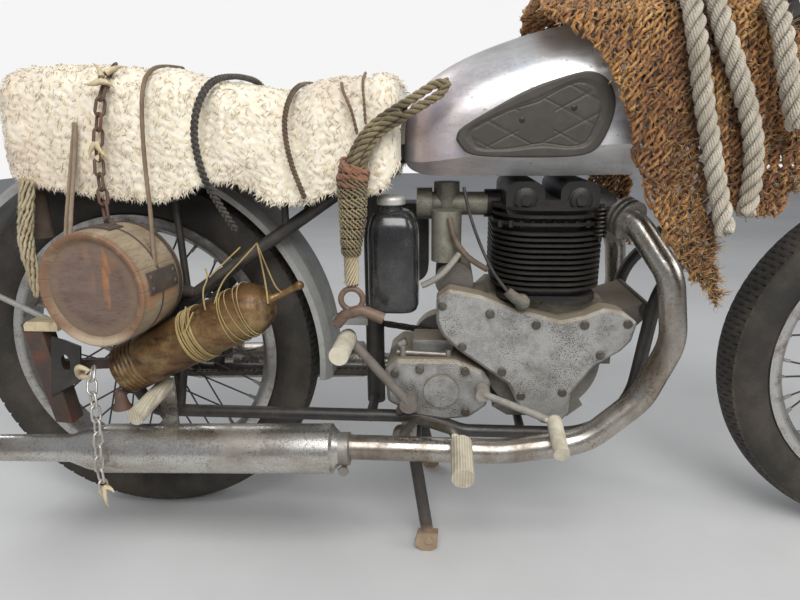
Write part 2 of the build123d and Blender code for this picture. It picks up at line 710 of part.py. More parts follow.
def tank_section(ahead, half, bottom, top, shoulder):
    """One face across the tank: flat sides, shoulder arcs tangent to a crown arc, bevelled below."""
    side_z = top - shoulder
    arc_radius = 0.8 * shoulder
    arc_y = half - arc_radius
    crown_radius = (arc_y ** 2 + shoulder ** 2 - arc_radius ** 2) / (2 * (shoulder - arc_radius))
    reach = crown_radius / (crown_radius - arc_radius)
    join = (arc_y * reach, top - crown_radius + (crown_radius - shoulder) * reach)
    half_turn = math.atan2(join[1] - side_z, join[0] - arc_y) / 2
    middle = (arc_y + arc_radius * math.cos(half_turn), side_z + arc_radius * math.sin(half_turn))
    bevel = 0.35 * (side_z - bottom)
    with BuildSketch(Plane.YZ.offset(rear_axle_x + ahead)) as section:
        with BuildLine():
            Polyline((-half, side_z), (-half, bottom + bevel), (-half + bevel, bottom), (half - bevel, bottom),
                     (half, bottom + bevel), (half, side_z))
            ThreePointArc((half, side_z), middle, join)
            ThreePointArc(join, (0, top), (-join[0], join[1]))
            ThreePointArc((-join[0], join[1]), (-middle[0], middle[1]), (-half, side_z))
        make_face()
    return section.sketch


# Fuel tank; columns: ahead of the rear axle, half width, bottom, top, height of the rounded shoulder
tank_stations = [
    (497, 60, 684, 734, 40),
    (522, 100, tank_bottom_z + 4, 790, 78),
    (560, 115, tank_bottom_z, 820, 90),
    (640, 124, tank_bottom_z, 855, 96),
    (780, 131, tank_bottom_z, 888, 99),
    (900, 131, tank_bottom_z, 892, 99),
    (970, 124, tank_bottom_z, 884, 92),
    (1018, 90, 672, 854, 66),
]
tank_faces = [tank_section(*station) for station in tank_stations]
with BuildPart() as tank:
    loft(tank_faces)
    add(straight_rod(spine_rear, spine_front, spine_radius + seat_gap), mode=Mode.SUBTRACT)
    with BuildSketch(right_side(-spine_radius - seat_gap)):
        Polygon((spine_rear[0], tank_bottom_z - 20), (spine_front[0], tank_bottom_z - 20),
                (spine_front[0], spine_front[2]), (spine_rear[0], spine_rear[2]), align=None)
    extrude(amount=2 * (spine_radius + seat_gap), mode=Mode.SUBTRACT)
    with Locations((cylinder_x + 120, 0, 890)):
        Cylinder(30, 12)
tank.part.label = "tank"
export_step(tank.part, "parts/tank.step")

# Knee pads let against the tank's sides
knee_outline = from_axle([
    (578, 712), (596, 692), (640, 686), (757, 686), (783, 694), (803, 738), (804, 772), (792, 795), (758, 806),
    (682, 783), (636, 759), (592, 734),
])
with BuildPart() as knee_pads:
    with BuildSketch(right_side(90)) as knee_face:
        Polygon(*knee_outline, align=None)
        fillet(knee_face.vertices(), 10)
    extrude(amount=knee_pad_y - 90)
    chamfer(knee_pads.faces().sort_by(Axis.Y)[0].edges(), 4)
    add(tank.part, mode=Mode.SUBTRACT)
    mirror(about=Plane.XZ)
knee_pads.part.label = "knee_pads"
export_step(knee_pads.part, "parts/knee_pads.step")

# Oil tank on the right of the seat tube, tool box on the left
with BuildPart() as oil_tank:
    with BuildSketch(right_side(58)):
        with Locations(*from_axle([(481, 522)])):
            RectangleRounded(82, 162, 18)
    extrude(amount=80)
    fillet(oil_tank.faces().sort_by(Axis.Y)[0].edges(), 14)
    with Locations((rear_axle_x + 478, -98, 606)):
        Cylinder(17, 24)
    with Locations((rear_axle_x + 478, -98, 620)):
        Cylinder(23, 16)
    for level in (470, 570):
        with Locations((seat_tube_x + 14, -30, level)):
            Box(30, 60, 14)
    add(frame_spine.part, mode=Mode.SUBTRACT)
oil_tank.part.label = "oil_tank"
export_step(oil_tank.part, "parts/oil_tank.step")

with BuildPart() as tool_box:
    with BuildSketch(right_side(-58)):
        with Locations(*from_axle([(478, 520)])):
            RectangleRounded(110, 150, 30)
    extrude(amount=-70)
    fillet(tool_box.faces().sort_by(Axis.Y)[-1].edges(), 10)
    for level in (480, 560):
        with Locations((seat_tube_x + 14, 30, level)):
            Box(30, 60, 14)
    add(frame_spine.part, mode=Mode.SUBTRACT)
tool_box.part.label = "tool_box"
export_step(tool_box.part, "parts/tool_box.step")

# Exhaust pipes with finned collars at the ports, then the silencers and tail pipes
pipe_route = [
    (cylinder_x + 94, -70, head_joint_z + 26),
    (cylinder_x + 128, -118, 582),
    (rear_axle_x + 902, -156, 512),
    (rear_axle_x + 914, -164, 412),
    (rear_axle_x + 872, -170, 318),
    (rear_axle_x + 790, -pipe_wall_y, 244),
    (rear_axle_x + 660, -pipe_wall_y, 222),
    (rear_axle_x + 388, -silencer_y + 8, 230),
]
pipe_bends = [44, 70, 90, 90, 120, 200]
with BuildPart() as exhaust_right:
    add(bent_tube(pipe_route, pipe_radius, pipe_bends))
    collar_run = Vector(*pipe_route[1]) - Vector(*pipe_route[0])
    for step in range(3):
        with BuildSketch(Plane(origin=Vector(*pipe_route[0]) + collar_run * (0.4 + 0.15 * step), z_dir=collar_run)):
            Circle(32)
        extrude(amount=4)
    add(cylinder_head.part, mode=Mode.SUBTRACT)
    add(barrel.part, mode=Mode.SUBTRACT)
exhaust_right.part.label = "exhaust_right"
export_step(exhaust_right.part, "parts/exhaust_right.step")

# Kickstart, gear lever and foot rests
kick_hub = (rear_axle_x + 506, 282)
with BuildPart() as kickstart:
    with Locations(Plane(origin=(kick_hub[0], -gearbox_cover_y - 14, kick_hub[1]), z_dir=(0, 1, 0))):
        Cylinder(15, 28)
    add(straight_rod((kick_hub[0], -gearbox_cover_y - 20, kick_hub[1]), (rear_axle_x + 409, -146, 404), 8))
    add(straight_rod((rear_axle_x + 409, -138, 404), (rear_axle_x + 409, -158, 404), 12))
    add(straight_rod((rear_axle_x + 409, -150, 404), (rear_axle_x + 407, -226, 402), 15))
    add(gearbox.part, mode=Mode.SUBTRACT)
kickstart.part.label = "kickstart"
export_step(kickstart.part, "parts/kickstart.step")

gear_hub = (rear_axle_x + 630, 302)
with BuildPart() as gear_lever:
    with Locations(Plane(origin=(gear_hub[0], -gearbox_cover_y - 12, gear_hub[1]), z_dir=(0, 1, 0))):
        Cylinder(12, 24)
    add(straight_rod((gear_hub[0], -cover_outer_y - 12, gear_hub[1]), (rear_axle_x + 741, -176, 277), 6))
    add(straight_rod((rear_axle_x + 741, -172, 278), (rear_axle_x + 740, -250, 262), 12))
    for seat in (gearbox.part, timing_cover.part):
        add(seat, mode=Mode.SUBTRACT)
gear_lever.part.label = "gear_lever"
export_step(gear_lever.part, "parts/gear_lever.step")

with BuildPart() as footrests:
    add(straight_rod((rear_axle_x + 492, -rail_y - 9, 216), (rear_axle_x + 492, -rail_y - 27, 216), 15))
    add(bent_tube([(rear_axle_x + 492, -rail_y - 20, 216), (rear_axle_x + 520, -150, 262),
                   (rear_axle_x + 578, -196, 268), (rear_axle_x + 592, -214, 254)], 7, [14, 12]))
    add(straight_rod((rear_axle_x + 593, -208, 252), (rear_axle_x + 594, -288, 240), 17))
    for seat in (stand_bracket.part, frame_cradle_right):
        add(seat, mode=Mode.SUBTRACT)
    mirror(about=Plane.XZ)
footrests.part.label = "footrests"
export_step(footrests.part, "parts/footrests.step")

with BuildPart() as pillion_rests:
    add(straight_rod((rear_axle_x + 92, -rail_y - 6, 312), (rear_axle_x + 92, -144, 312), 8))
    add(straight_rod((rear_axle_x + 92, -140, 312), (rear_axle_x + 82, -236, 297), 14))
    add(frame_stay_right.part, mode=Mode.SUBTRACT)
    mirror(about=Plane.XZ)
pillion_rests.part.label = "pillion_rests"
export_step(pillion_rests.part, "parts/pillion_rests.step")

# Silencers with their hangers; profile columns: ahead of the rear axle, radius
silencer_profile = [(402, 23), (390, 34), (386, silencer_radius), (8, silencer_radius), (-20, 35), (-56, 23),
                    (-190, tail_pipe_radius)]
silencer_drop = 12
silencer_line = Plane(origin=(rear_axle_x, -silencer_y, 219), x_dir=(400, 0, silencer_drop), z_dir=(0, -1, 0))
with BuildPart() as silencer_right:
    with BuildSketch(silencer_line):
        Polygon((silencer_profile[-1][0], 0), (silencer_profile[0][0], 0), *silencer_profile, align=None)
    revolve(axis=Axis(silencer_line.origin, silencer_line.x_dir))
    with BuildSketch(silencer_line):
        Polygon((silencer_profile[-1][0] - 1, 0), (-100, 0), (-100, tail_pipe_radius - 2),
                (silencer_profile[-1][0] - 1, tail_pipe_radius - 2), align=None)
    revolve(axis=Axis(silencer_line.origin, silencer_line.x_dir), mode=Mode.SUBTRACT)
    with Locations((rear_axle_x + 92, -156, 236)):
        Box(24, 34, 22)
    with Locations((rear_axle_x + 92, -141, 276)):
        Box(28, 5, 100)
    for seat in (exhaust_right.part, pillion_rests.part):
        add(seat, mode=Mode.SUBTRACT)
silencer_right.part.label = "silencer_right"
export_step(silencer_right.part, "parts/silencer_right.step")
with BuildPart() as exhaust_left:
    add(left_copy(exhaust_right.part))
    add(left_copy(silencer_right.part))
exhaust_left.part.label = "exhaust_left"
export_step(exhaust_left.part, "parts/exhaust_left.step")

# Drive chain about both sprockets, closed
with BuildPart() as drive_chain:
    with BuildSketch(right_side(-chain_y - chain_width / 2)) as chain_band:
        with Locations((rear_axle_x, rear_axle_z)):
            Circle(sprocket_radius + seat_gap + chain_height)
        with Locations(front_sprocket_place):
            Circle(front_sprocket_radius + seat_gap + chain_height)
        make_hull()
        with BuildSketch(mode=Mode.PRIVATE) as chain_gap:
            with Locations((rear_axle_x, rear_axle_z)):
                Circle(sprocket_radius + seat_gap)
            with Locations(front_sprocket_place):
                Circle(front_sprocket_radius + seat_gap)
            make_hull()
        add(chain_gap.sketch, mode=Mode.SUBTRACT)
    extrude(amount=chain_width)
drive_chain.part.label = "drive_chain"
export_step(drive_chain.part, "parts/drive_chain.step")

# Rear mudguard: a channel about the rear axle, with its bracket and side stays
guard_start = math.radians(guard_front_angle)
guard_axis = Axis((rear_axle_x, 0, rear_axle_z), (0, -1, 0))
guard_plane = Plane(origin=(rear_axle_x, 0, rear_axle_z), x_dir=(0, 1, 0),
                    z_dir=(math.sin(guard_start), 0, -math.cos(guard_start)))


def guard_place(angle, inside):
    """A place on the mudguard's side: degrees up from ahead, and how far inside its crown."""
    reach = guard_radius - inside
    return reach * math.cos(math.radians(angle)), reach * math.sin(math.radians(angle))


with BuildPart() as rear_mudguard:
    with BuildSketch(guard_plane):
        with BuildLine():
            Polyline((-guard_half_width, guard_radius - guard_skirt), (-guard_half_width, guard_radius - 10),
                     (-guard_half_width + 16, guard_radius), (guard_half_width - 16, guard_radius),
                     (guard_half_width, guard_radius - 10), (guard_half_width, guard_radius - guard_skirt),
                     (guard_half_width - guard_wall, guard_radius - guard_skirt),
                     (guard_half_width - guard_wall, guard_radius - 11),
                     (guard_half_width - 17, guard_radius - guard_wall),
                     (-guard_half_width + 17, guard_radius - guard_wall),
                     (-guard_half_width + guard_wall, guard_radius - 11),
                     (-guard_half_width + guard_wall, guard_radius - guard_skirt), close=True)
        make_face()
    revolve(axis=guard_axis, revolution_arc=guard_rear_angle - guard_front_angle)
    guard_front_x = rear_axle_x + guard_place(8.6, 4)[0]
    with Locations(((guard_front_x + seat_tube_x) / 2, 0, rear_axle_z + 54)):
        Box(seat_tube_x - guard_front_x, 24, 12)
    for side in (-1, 1):
        bolt_ahead, bolt_up = guard_place(38.3, 10)
        with Locations(Plane(origin=(rear_axle_x + bolt_ahead, side * (guard_half_width + 11), rear_axle_z + bolt_up),
                             z_dir=(0, 1, 0))):
            Cylinder(7, 24)
        rod_ahead, rod_up = guard_place(155.2, 14)
        add(straight_rod((rear_axle_x + rod_ahead, side * (guard_half_width + 1), rear_axle_z + rod_up),
                         (rear_axle_x - 12, side * (rail_y - 2), rear_axle_z + 20), 5))
    for seat in (frame_spine.part, frame_stay_right.part, frame_stay_left):
        add(seat, mode=Mode.SUBTRACT)
rear_mudguard.part.label = "rear_mudguard"
export_step(rear_mudguard.part, "parts/rear_mudguard.step")

# Tail lamp on a bracket from the mudguard
tail_lamp_up = 190
tail_lamp_width = 86
tail_lamp_height = 58
tail_lamp_depth = 40
bracket_drop = 8
guard_back = math.sqrt(guard_radius ** 2 - (tail_lamp_up - bracket_drop) ** 2)
bracket_start = tail_reach - tail_lamp_depth + 4
bracket_end = guard_back + 1.5
with BuildPart() as tail_lamp:
    with BuildSketch(Plane.YZ.offset(rear_axle_x - tail_reach)):
        with Locations((0, rear_axle_z + tail_lamp_up)):
            RectangleRounded(tail_lamp_width, tail_lamp_height, 20)
    extrude(amount=tail_lamp_depth)
    with Locations((rear_axle_x - (bracket_start + bracket_end) / 2, 0, rear_axle_z + tail_lamp_up - bracket_drop)):
        Box(bracket_start - bracket_end, 30, 14)
    add(rear_mudguard.part, mode=Mode.SUBTRACT)
tail_lamp.part.label = "tail_lamp"
export_step(tail_lamp.part, "parts/tail_lamp.step")

# Seat: a steel pan on struts from the stays, under a fleece closed over it
pan_rear = seat_rear + 20
strut_foot = Vector(*stay_bend) + (Vector(*stay_top) - Vector(*stay_bend)) * 0.63
with BuildPart() as seat_pan:
    with Locations((rear_axle_x + (pan_rear + seat_front - 10) / 2, 0, seat_pan_z + seat_pan_thickness / 2)):
        Box(seat_front - 10 - pan_rear, 2 * seat_cavity_half_width - 4, seat_pan_thickness)
    for side in (-1, 1):
        add(straight_rod((rear_axle_x + stay_bend[0] - 18, side * 78, seat_pan_z + 1),
                         (rear_axle_x + stay_bend[0] - 2, side * (stay_bend[1] - 8), stay_bend[2] + 9), 6))
        add(straight_rod((rear_axle_x + strut_foot.X, side * 78, seat_pan_z + 1),
                         (rear_axle_x + strut_foot.X, side * strut_foot.Y, strut_foot.Z), 6))
    for seat in (frame_spine.part, frame_stay_right.part, frame_stay_left):
        add(seat, mode=Mode.SUBTRACT)
seat_pan.part.label = "seat_pan"
export_step(seat_pan.part, "parts/seat_pan.step")

cavity_rear = rear_axle_x + pan_rear - 2
with BuildPart() as fleece:
    with BuildSketch(Plane.YZ.offset(rear_axle_x + seat_rear)):
        Polygon((-seat_half_width, seat_skirt_z), (-seat_half_width, seat_top_z - 50),
                (-seat_half_width + 44, seat_top_z - 8), (0, seat_top_z), (seat_half_width - 44, seat_top_z - 8),
                (seat_half_width, seat_top_z - 50), (seat_half_width, seat_skirt_z), align=None)
    extrude(amount=seat_front - seat_rear)
    with Locations(((cavity_rear + rear_axle_x + seat_front) / 2 + 50, 0,
                    (seat_pan_z + seat_pan_thickness + seat_gap + seat_skirt_z) / 2 - 50)):
        Box(rear_axle_x + seat_front - cavity_rear + 100, 2 * seat_cavity_half_width,
            seat_pan_z + seat_pan_thickness + seat_gap - seat_skirt_z + 100, mode=Mode.SUBTRACT)
    with Locations((rear_axle_x + seat_rear, 0, rear_axle_z + guard_radius - 45)):
        Box(200, 2 * guard_half_width + 10, 100, mode=Mode.SUBTRACT)
fleece.part.label = "fleece"
export_step(fleece.part, "parts/fleece.step")

# Carrier leg and its flat bar on the right axle plate
with BuildPart() as carrier_leg:
    with BuildSketch(right_side(rail_y - 2)):
        Polygon(*from_axle([(-95, 227), (-126, 229), (-158, 412), (-124, 416)]), align=None)
    extrude(amount=33)
    with BuildSketch(right_side(rail_y - 7)):
        Polygon(*from_axle([(-136, 314), (-136, 332), (-12, 340), (-12, 322)]), align=None)
    extrude(amount=6)
    add(rear_axle.part, mode=Mode.SUBTRACT)
    add(frame_stay_right.part, mode=Mode.SUBTRACT)
carrier_leg.part.label = "carrier_leg"
export_step(carrier_leg.part, "parts/carrier_leg.step")

# Drum canteen on a cleat from the right stay
drum_centre = (rear_axle_x + 56, -195, 505)
drum_radius = 80
drum_depth = 110
with BuildPart() as drum:
    with Locations(Plane(origin=drum_centre, z_dir=(0, 1, 0))):
        Cylinder(drum_radius, drum_depth)
        with Locations((0, 0, -drum_depth / 2 + 5), (0, 0, drum_depth / 2 - 5)):
            Cylinder(drum_radius + 2.5, 10)
        with Locations((0, 0, -drum_depth / 2)):
            Cylinder(drum_radius - 5, 12, mode=Mode.SUBTRACT)
    with Locations((drum_centre[0] + 66, -123, 470)):
        Box(36, 42, 32)
    with Locations((drum_centre[0] - 6, drum_centre[1] + 20, drum_centre[2] + drum_radius + 4)):
        Box(46, 24, 12)
    for seat in (frame_stay_right.part, seat_pan.part):
        add(seat, mode=Mode.SUBTRACT)
drum.part.label = "drum"
export_step(drum.part, "parts/drum.step")

# Bottle slung under the drum; profile columns: along its axis, radius
bottle_profile = [(0, 40), (4, 45), (10, 45), (13, 41), (18, 45), (24, 45), (28, 41), (34, 42), (262, 42),
                  (286, 34), (298, 20), (302, 14), (344, 8), (345, 6)]
bottle_line = Plane(origin=(rear_axle_x + 27, -165, 343), x_dir=(276, 0, 135), z_dir=(0, -1, 0))
with BuildPart() as bottle:
    with BuildSketch(bottle_line):
        Polygon((bottle_profile[-1][0], 0), (0, 0), *bottle_profile, align=None)
    revolve(axis=Axis(bottle_line.origin, bottle_line.x_dir))
    with Locations((rear_axle_x + 110, -120, 384)):
        Box(24, 34, 26)
    add(frame_stay_right.part, mode=Mode.SUBTRACT)
bottle.part.label = "bottle"
export_step(bottle.part, "parts/bottle.step")

# Wrapped roll under the rear of the fleece
with BuildPart() as wrapped_roll:
    with Locations((rear_axle_x - 105, -112, (560 + seat_skirt_z) / 2)):
        Cylinder(18, seat_skirt_z - 560)
wrapped_roll.part.label = "wrapped_roll"
export_step(wrapped_roll.part, "parts/wrapped_roll.step")

# Ring and hook at the end of the braid
ring_centre = (rear_axle_x + 421, -170, 475)
with BuildPart() as hook_ring:
    with Locations(Plane(origin=ring_centre, z_dir=(0, 1, 0))):
        Torus(17, 4.5)
    add(bent_tube([(rear_axle_x + 396, -170, 434), (rear_axle_x + 410, -170, 451),
                   (rear_axle_x + 436, -170, 458), (rear_axle_x + 470, -170, 444)], 9, [20, 20]))
hook_ring.part.label = "hook_ring"
export_step(hook_ring.part, "parts/hook_ring.step")


def cord_tube(name, route, radius):
    """A limp cord along its route; each bend takes 0.45 of the shorter run beside it."""
    points = [Vector(*place) for place in route]
    bends = []
    for before, here, after in zip(points, points[1:], points[2:]):
        turn = (here - before).get_angle(after - here)
        shorter = min((here - before).length, (after - here).length)
        bends.append(0.45 * shorter / math.tan(math.radians(turn / 2)))
    print(name, "bend radii", [round(bend) for bend in bends])
    cord = bent_tube(route, radius, bends)
    cord.label = name
    export_step(cord, f"parts/{name}.step")
    return cord


# Net over the tank's front: an inverted channel cut to the net's side outline; columns: out from the middle, up
net_inner = [(188, 480), (188, 560), (156, 640), (150, 800), (126, 866), (64, 896.4)]
net_outer = [(half + net_thickness, up + net_thickness * share) for (half, up), share in
             zip(net_inner, (0, 0.3, 0.2, 0.25, 0.8, 1))]
net_rear_outline = from_axle([
    (687, 940), (687, 873), (731, 861), (760, 837), (791, 788), (812, 744), (828, 675), (847, 628), (872, 574),
    (910, 520), (947, 500), (943, 542), (903, 723), (890, 885), (890, 940),
])
net_front_outline = from_axle([
    (906, 940), (908, 905), (942, 800), (958, 700), (972, 613), (1046, 640), (1060, 700), (1050, 800), (1036, 846),
    (1008, 862), (972, 872), (968, 940),
])
with BuildPart() as coir_net:
    with BuildSketch(Plane.YZ.offset(rear_axle_x + 680)):
        Polygon(*net_inner, *[(-half, up) for half, up in reversed(net_inner)],
                *[(-half, up) for half, up in net_outer], *reversed(net_outer), align=None)
    extrude(amount=400)
    with BuildSketch(right_side(-300)):
        Polygon(*net_rear_outline, align=None)
        Polygon(*net_front_outline, align=None)
    extrude(amount=600, mode=Mode.INTERSECT)
coir_net.part.label = "coir_net"
export_step(coir_net.part, "parts/coir_net.step")

# Cords: the braid, the ropes over the net, and the frayed rope behind the drum
cord_tube("braid", [
    (rear_axle_x + 566, -142, 792), (rear_axle_x + 508, -152, 757), (rear_axle_x + 452, -158, 724),
    (rear_axle_x + 424, -166, 668), (rear_axle_x + 428, -170, 606), (rear_axle_x + 421, -170, 550),
    (rear_axle_x + 422, -170, 497),
], 12)
cord_tube("rope_a", [
    (rear_axle_x + 884, 60, 933.2), (rear_axle_x + 884, 0, 933.8), (rear_axle_x + 882, -80, 938.5),
    (rear_axle_x + 880, -155, 908), (rear_axle_x + 884, -193, 846), (rear_axle_x + 896, -195, 785),
    (rear_axle_x + 914, -198, 716), (rear_axle_x + 929, -209, 648), (rear_axle_x + 938, -231, 590),
], rope_radius)
cord_tube("rope_b", [
    (rear_axle_x + 912.6, 50, 933.2), (rear_axle_x + 912.6, -10, 933.8), (rear_axle_x + 912, -80, 938.5),
    (rear_axle_x + 911, -155, 908), (rear_axle_x + 916, -193, 848), (rear_axle_x + 944, -195, 790),
    (rear_axle_x + 970, -196, 725), (rear_axle_x + 980, -198, 662), (rear_axle_x + 971, -207, 612),
], rope_radius)
cord_tube("frayed_rope", [
    (rear_axle_x - 83, -154.4, 657), (rear_axle_x - 95, -155, 604), (rear_axle_x - 104, -158, 551),
    (rear_axle_x - 92, -162, 500), (rear_axle_x - 90, -160, 473),
], 12)
cord_tube("drum_chain", [
    (rear_axle_x + 56, -108, 826), (rear_axle_x + 54, -146, 796), (rear_axle_x + 42, -152, 740),
    (rear_axle_x + 36, -156, 684), (rear_axle_x + 40, -164, 636), (rear_axle_x + 46, -172, 600),
], 6)
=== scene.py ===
import math
import random

import bpy
import numpy as np
from mathutils import Matrix, Vector, noise


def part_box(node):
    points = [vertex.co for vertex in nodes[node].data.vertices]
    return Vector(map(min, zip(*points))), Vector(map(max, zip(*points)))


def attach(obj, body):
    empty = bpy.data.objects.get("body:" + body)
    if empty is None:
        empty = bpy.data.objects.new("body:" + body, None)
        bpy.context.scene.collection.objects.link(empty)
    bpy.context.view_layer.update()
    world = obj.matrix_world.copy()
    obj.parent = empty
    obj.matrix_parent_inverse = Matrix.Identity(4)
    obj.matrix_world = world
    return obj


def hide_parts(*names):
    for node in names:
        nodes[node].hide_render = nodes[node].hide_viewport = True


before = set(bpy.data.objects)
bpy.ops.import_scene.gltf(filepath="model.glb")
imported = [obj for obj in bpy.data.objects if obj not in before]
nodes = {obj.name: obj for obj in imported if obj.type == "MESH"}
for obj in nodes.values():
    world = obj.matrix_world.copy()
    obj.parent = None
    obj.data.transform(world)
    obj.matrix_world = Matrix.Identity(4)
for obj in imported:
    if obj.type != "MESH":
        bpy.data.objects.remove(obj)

noise.seed_set(1)  # noise_vector is seeded from the clock until this is called
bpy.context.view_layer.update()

# The camera stands at seat height on the machine's right, turned a little to the rear.
# A wide lens: the front wheel and both ends run out of the picture.
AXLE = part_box("rear_axle")
REAR = (AXLE[0][0] + AXLE[1][0]) / 2
AXLE_Z = (AXLE[0][2] + AXLE[1][2]) / 2
yaw, pitch, roll = math.radians(-4.32), math.radians(16.02), math.radians(-0.53)
ahead = Vector((math.sin(yaw) * math.cos(pitch), math.cos(yaw) * math.cos(pitch), -math.sin(pitch)))
level = Vector((math.cos(yaw), -math.sin(yaw), 0))
upright = level.cross(ahead)
across = level * math.cos(roll) + upright * math.sin(roll)
over = upright * math.cos(roll) - level * math.sin(roll)
camera = bpy.data.objects.new("camera", bpy.data.cameras.new("camera"))
camera.data.lens = 27.13
camera.matrix_world = Matrix.Translation((REAR + 0.563, -1.060, 0.731)) @ Matrix(
    (across, over, -ahead)).transposed().to_4x4()
bpy.context.scene.collection.objects.link(camera)
bpy.context.scene.camera = camera
bpy.context.scene.view_settings.view_transform = "Standard"

# Ropes, braid, frayed rope and the drum's chain hang first, as each is a free cord.
# Fibre ropes are three strands laid up; strands and links follow the route's own spline.


class Sum:
    """A socket in a material's tree; arithmetic on it adds Math nodes."""

    def __init__(self, finish, socket):
        self.finish = finish
        self.socket = socket

    def maths(self, operation, *terms):
        return self.finish.node("ShaderNodeMath", {"operation": operation}, dict(enumerate(terms)))

    def __add__(self, other):
        return self.maths("ADD", self, other)

    def __sub__(self, other):
        return self.maths("SUBTRACT", self, other)

    def __rsub__(self, other):
        return self.maths("SUBTRACT", other, self)

    def __mul__(self, other):
        return self.maths("MULTIPLY", self, other)

    def __pow__(self, other):
        return self.maths("POWER", self, other)

    __radd__ = __add__
    __rmul__ = __mul__

    def between(self, low, high):
        """0 at low, 1 at high, held at both ends."""
        return self.finish.node("ShaderNodeMapRange", {"clamp": True}, {0: self, 1: low, 2: high, 3: 0.0, 4: 1.0})


class Finish:
    """One material: a principled shader and the ways to add to its tree."""

    def __init__(self, name, rough=0.6, **fixed):
        self.material = bpy.data.materials.new(name)
        self.material.use_nodes = True
        self.tree = self.material.node_tree
        self.shader = self.tree.nodes["Principled BSDF"]
        self.shader.inputs["Roughness"].default_value = rough
        for socket, value in fixed.items():
            self.shader.inputs[socket.replace("_", " ")].default_value = value
        self.place = self.node("ShaderNodeTexCoord", out="Object")

    def node(self, kind, settings=None, sockets=None, out=0):
        made = self.tree.nodes.new(kind)
        for setting, value in (settings or {}).items():
            if setting == "stops":
                ramp = made.color_ramp.elements
                while len(ramp) < len(value):
                    ramp.new(0.5)
                for stop, (at, colour) in zip(ramp, value):
                    stop.position = at
                    stop.color = (*colour, 1)
            else:
                setattr(made, setting, value)
        for socket, value in (sockets or {}).items():
            if isinstance(value, Sum):
                self.tree.links.new(value.socket, made.inputs[socket])
            else:
                made.inputs[socket].default_value = value
        return Sum(self, made.outputs[out])

    def vectors(self, operation, *terms, out=0):
        return self.node("ShaderNodeVectorMath", {"operation": operation}, dict(enumerate(terms)), out)

    def noise(self, scale, detail, rough=0.55, stretch=None):
        at = self.vectors("MULTIPLY", self.place, stretch) if stretch else self.place
        return self.node("ShaderNodeTexNoise", {}, {"Vector": at, "Scale": scale, "Detail": detail,
                                                    "Roughness": rough})

    def cells(self, scale):
        return self.node("ShaderNodeTexVoronoi", {}, {"Vector": self.place, "Scale": scale})

    def mix(self, share, first, second):
        first = first if isinstance(first, Sum) else (*first, 1)
        second = second if isinstance(second, Sum) else (*second, 1)
        return self.node("ShaderNodeMix", {"data_type": "RGBA"}, {0: share, 6: first, 7: second}, 2)

    def axis(self, letter, at=None):
        return self.node("ShaderNodeSeparateXYZ", {}, {0: at or self.place}, letter)

    def axle_distance(self, axle_x, axle_z):
        """How far a place is from a wheel's axle, along the wheel's plane."""
        from_hub = self.vectors("SUBTRACT", self.place, (axle_x, 0.0, axle_z))
        return self.vectors("LENGTH", self.vectors("MULTIPLY", from_hub, (1.0, 0.0, 1.0)), out="Value")

    def hollows(self, reach):
        """1 in corners and crevices, 0 in the open: ambient occlusion, so a darker colour mixed in by it is painted
        shade.
        """
        return 1 - self.node("ShaderNodeAmbientOcclusion", {"samples": 6}, {"Distance": reach}, "AO")

    def end(self, colour, rough=None, height=None, strength=0.5, depth=0.001, metallic=None):
        for socket, value in (("Base Color", colour), ("Roughness", rough), ("Metallic", metallic)):
            if isinstance(value, Sum):
                self.tree.links.new(value.socket, self.shader.inputs[socket])
            elif value is not None:
                self.shader.inputs[socket].default_value = (*value, 1) if socket == "Base Color" else value
        if height is not None:
            bump = self.node("ShaderNodeBump", {}, {"Height": height, "Strength": strength, "Distance": depth})
            self.tree.links.new(bump.socket, self.shader.inputs["Normal"])
        return self.material


LEAST_RADIUS = 0.00005  # what a turned piece closes to, so that no faces fold


def heading(line, index):
    """Which way a line of points runs at one of them."""
    return (line[min(index + 1, len(line) - 1)] - line[max(index - 1, 0)]).normalized()


def square(side, run):
    """The side direction, made square to the run."""
    return (side - run * side.dot(run)).normalized()


def radial(first, second, turn):
    """The direction at an angle from the first of two square directions towards the second."""
    return first * math.cos(turn) + second * math.sin(turn)


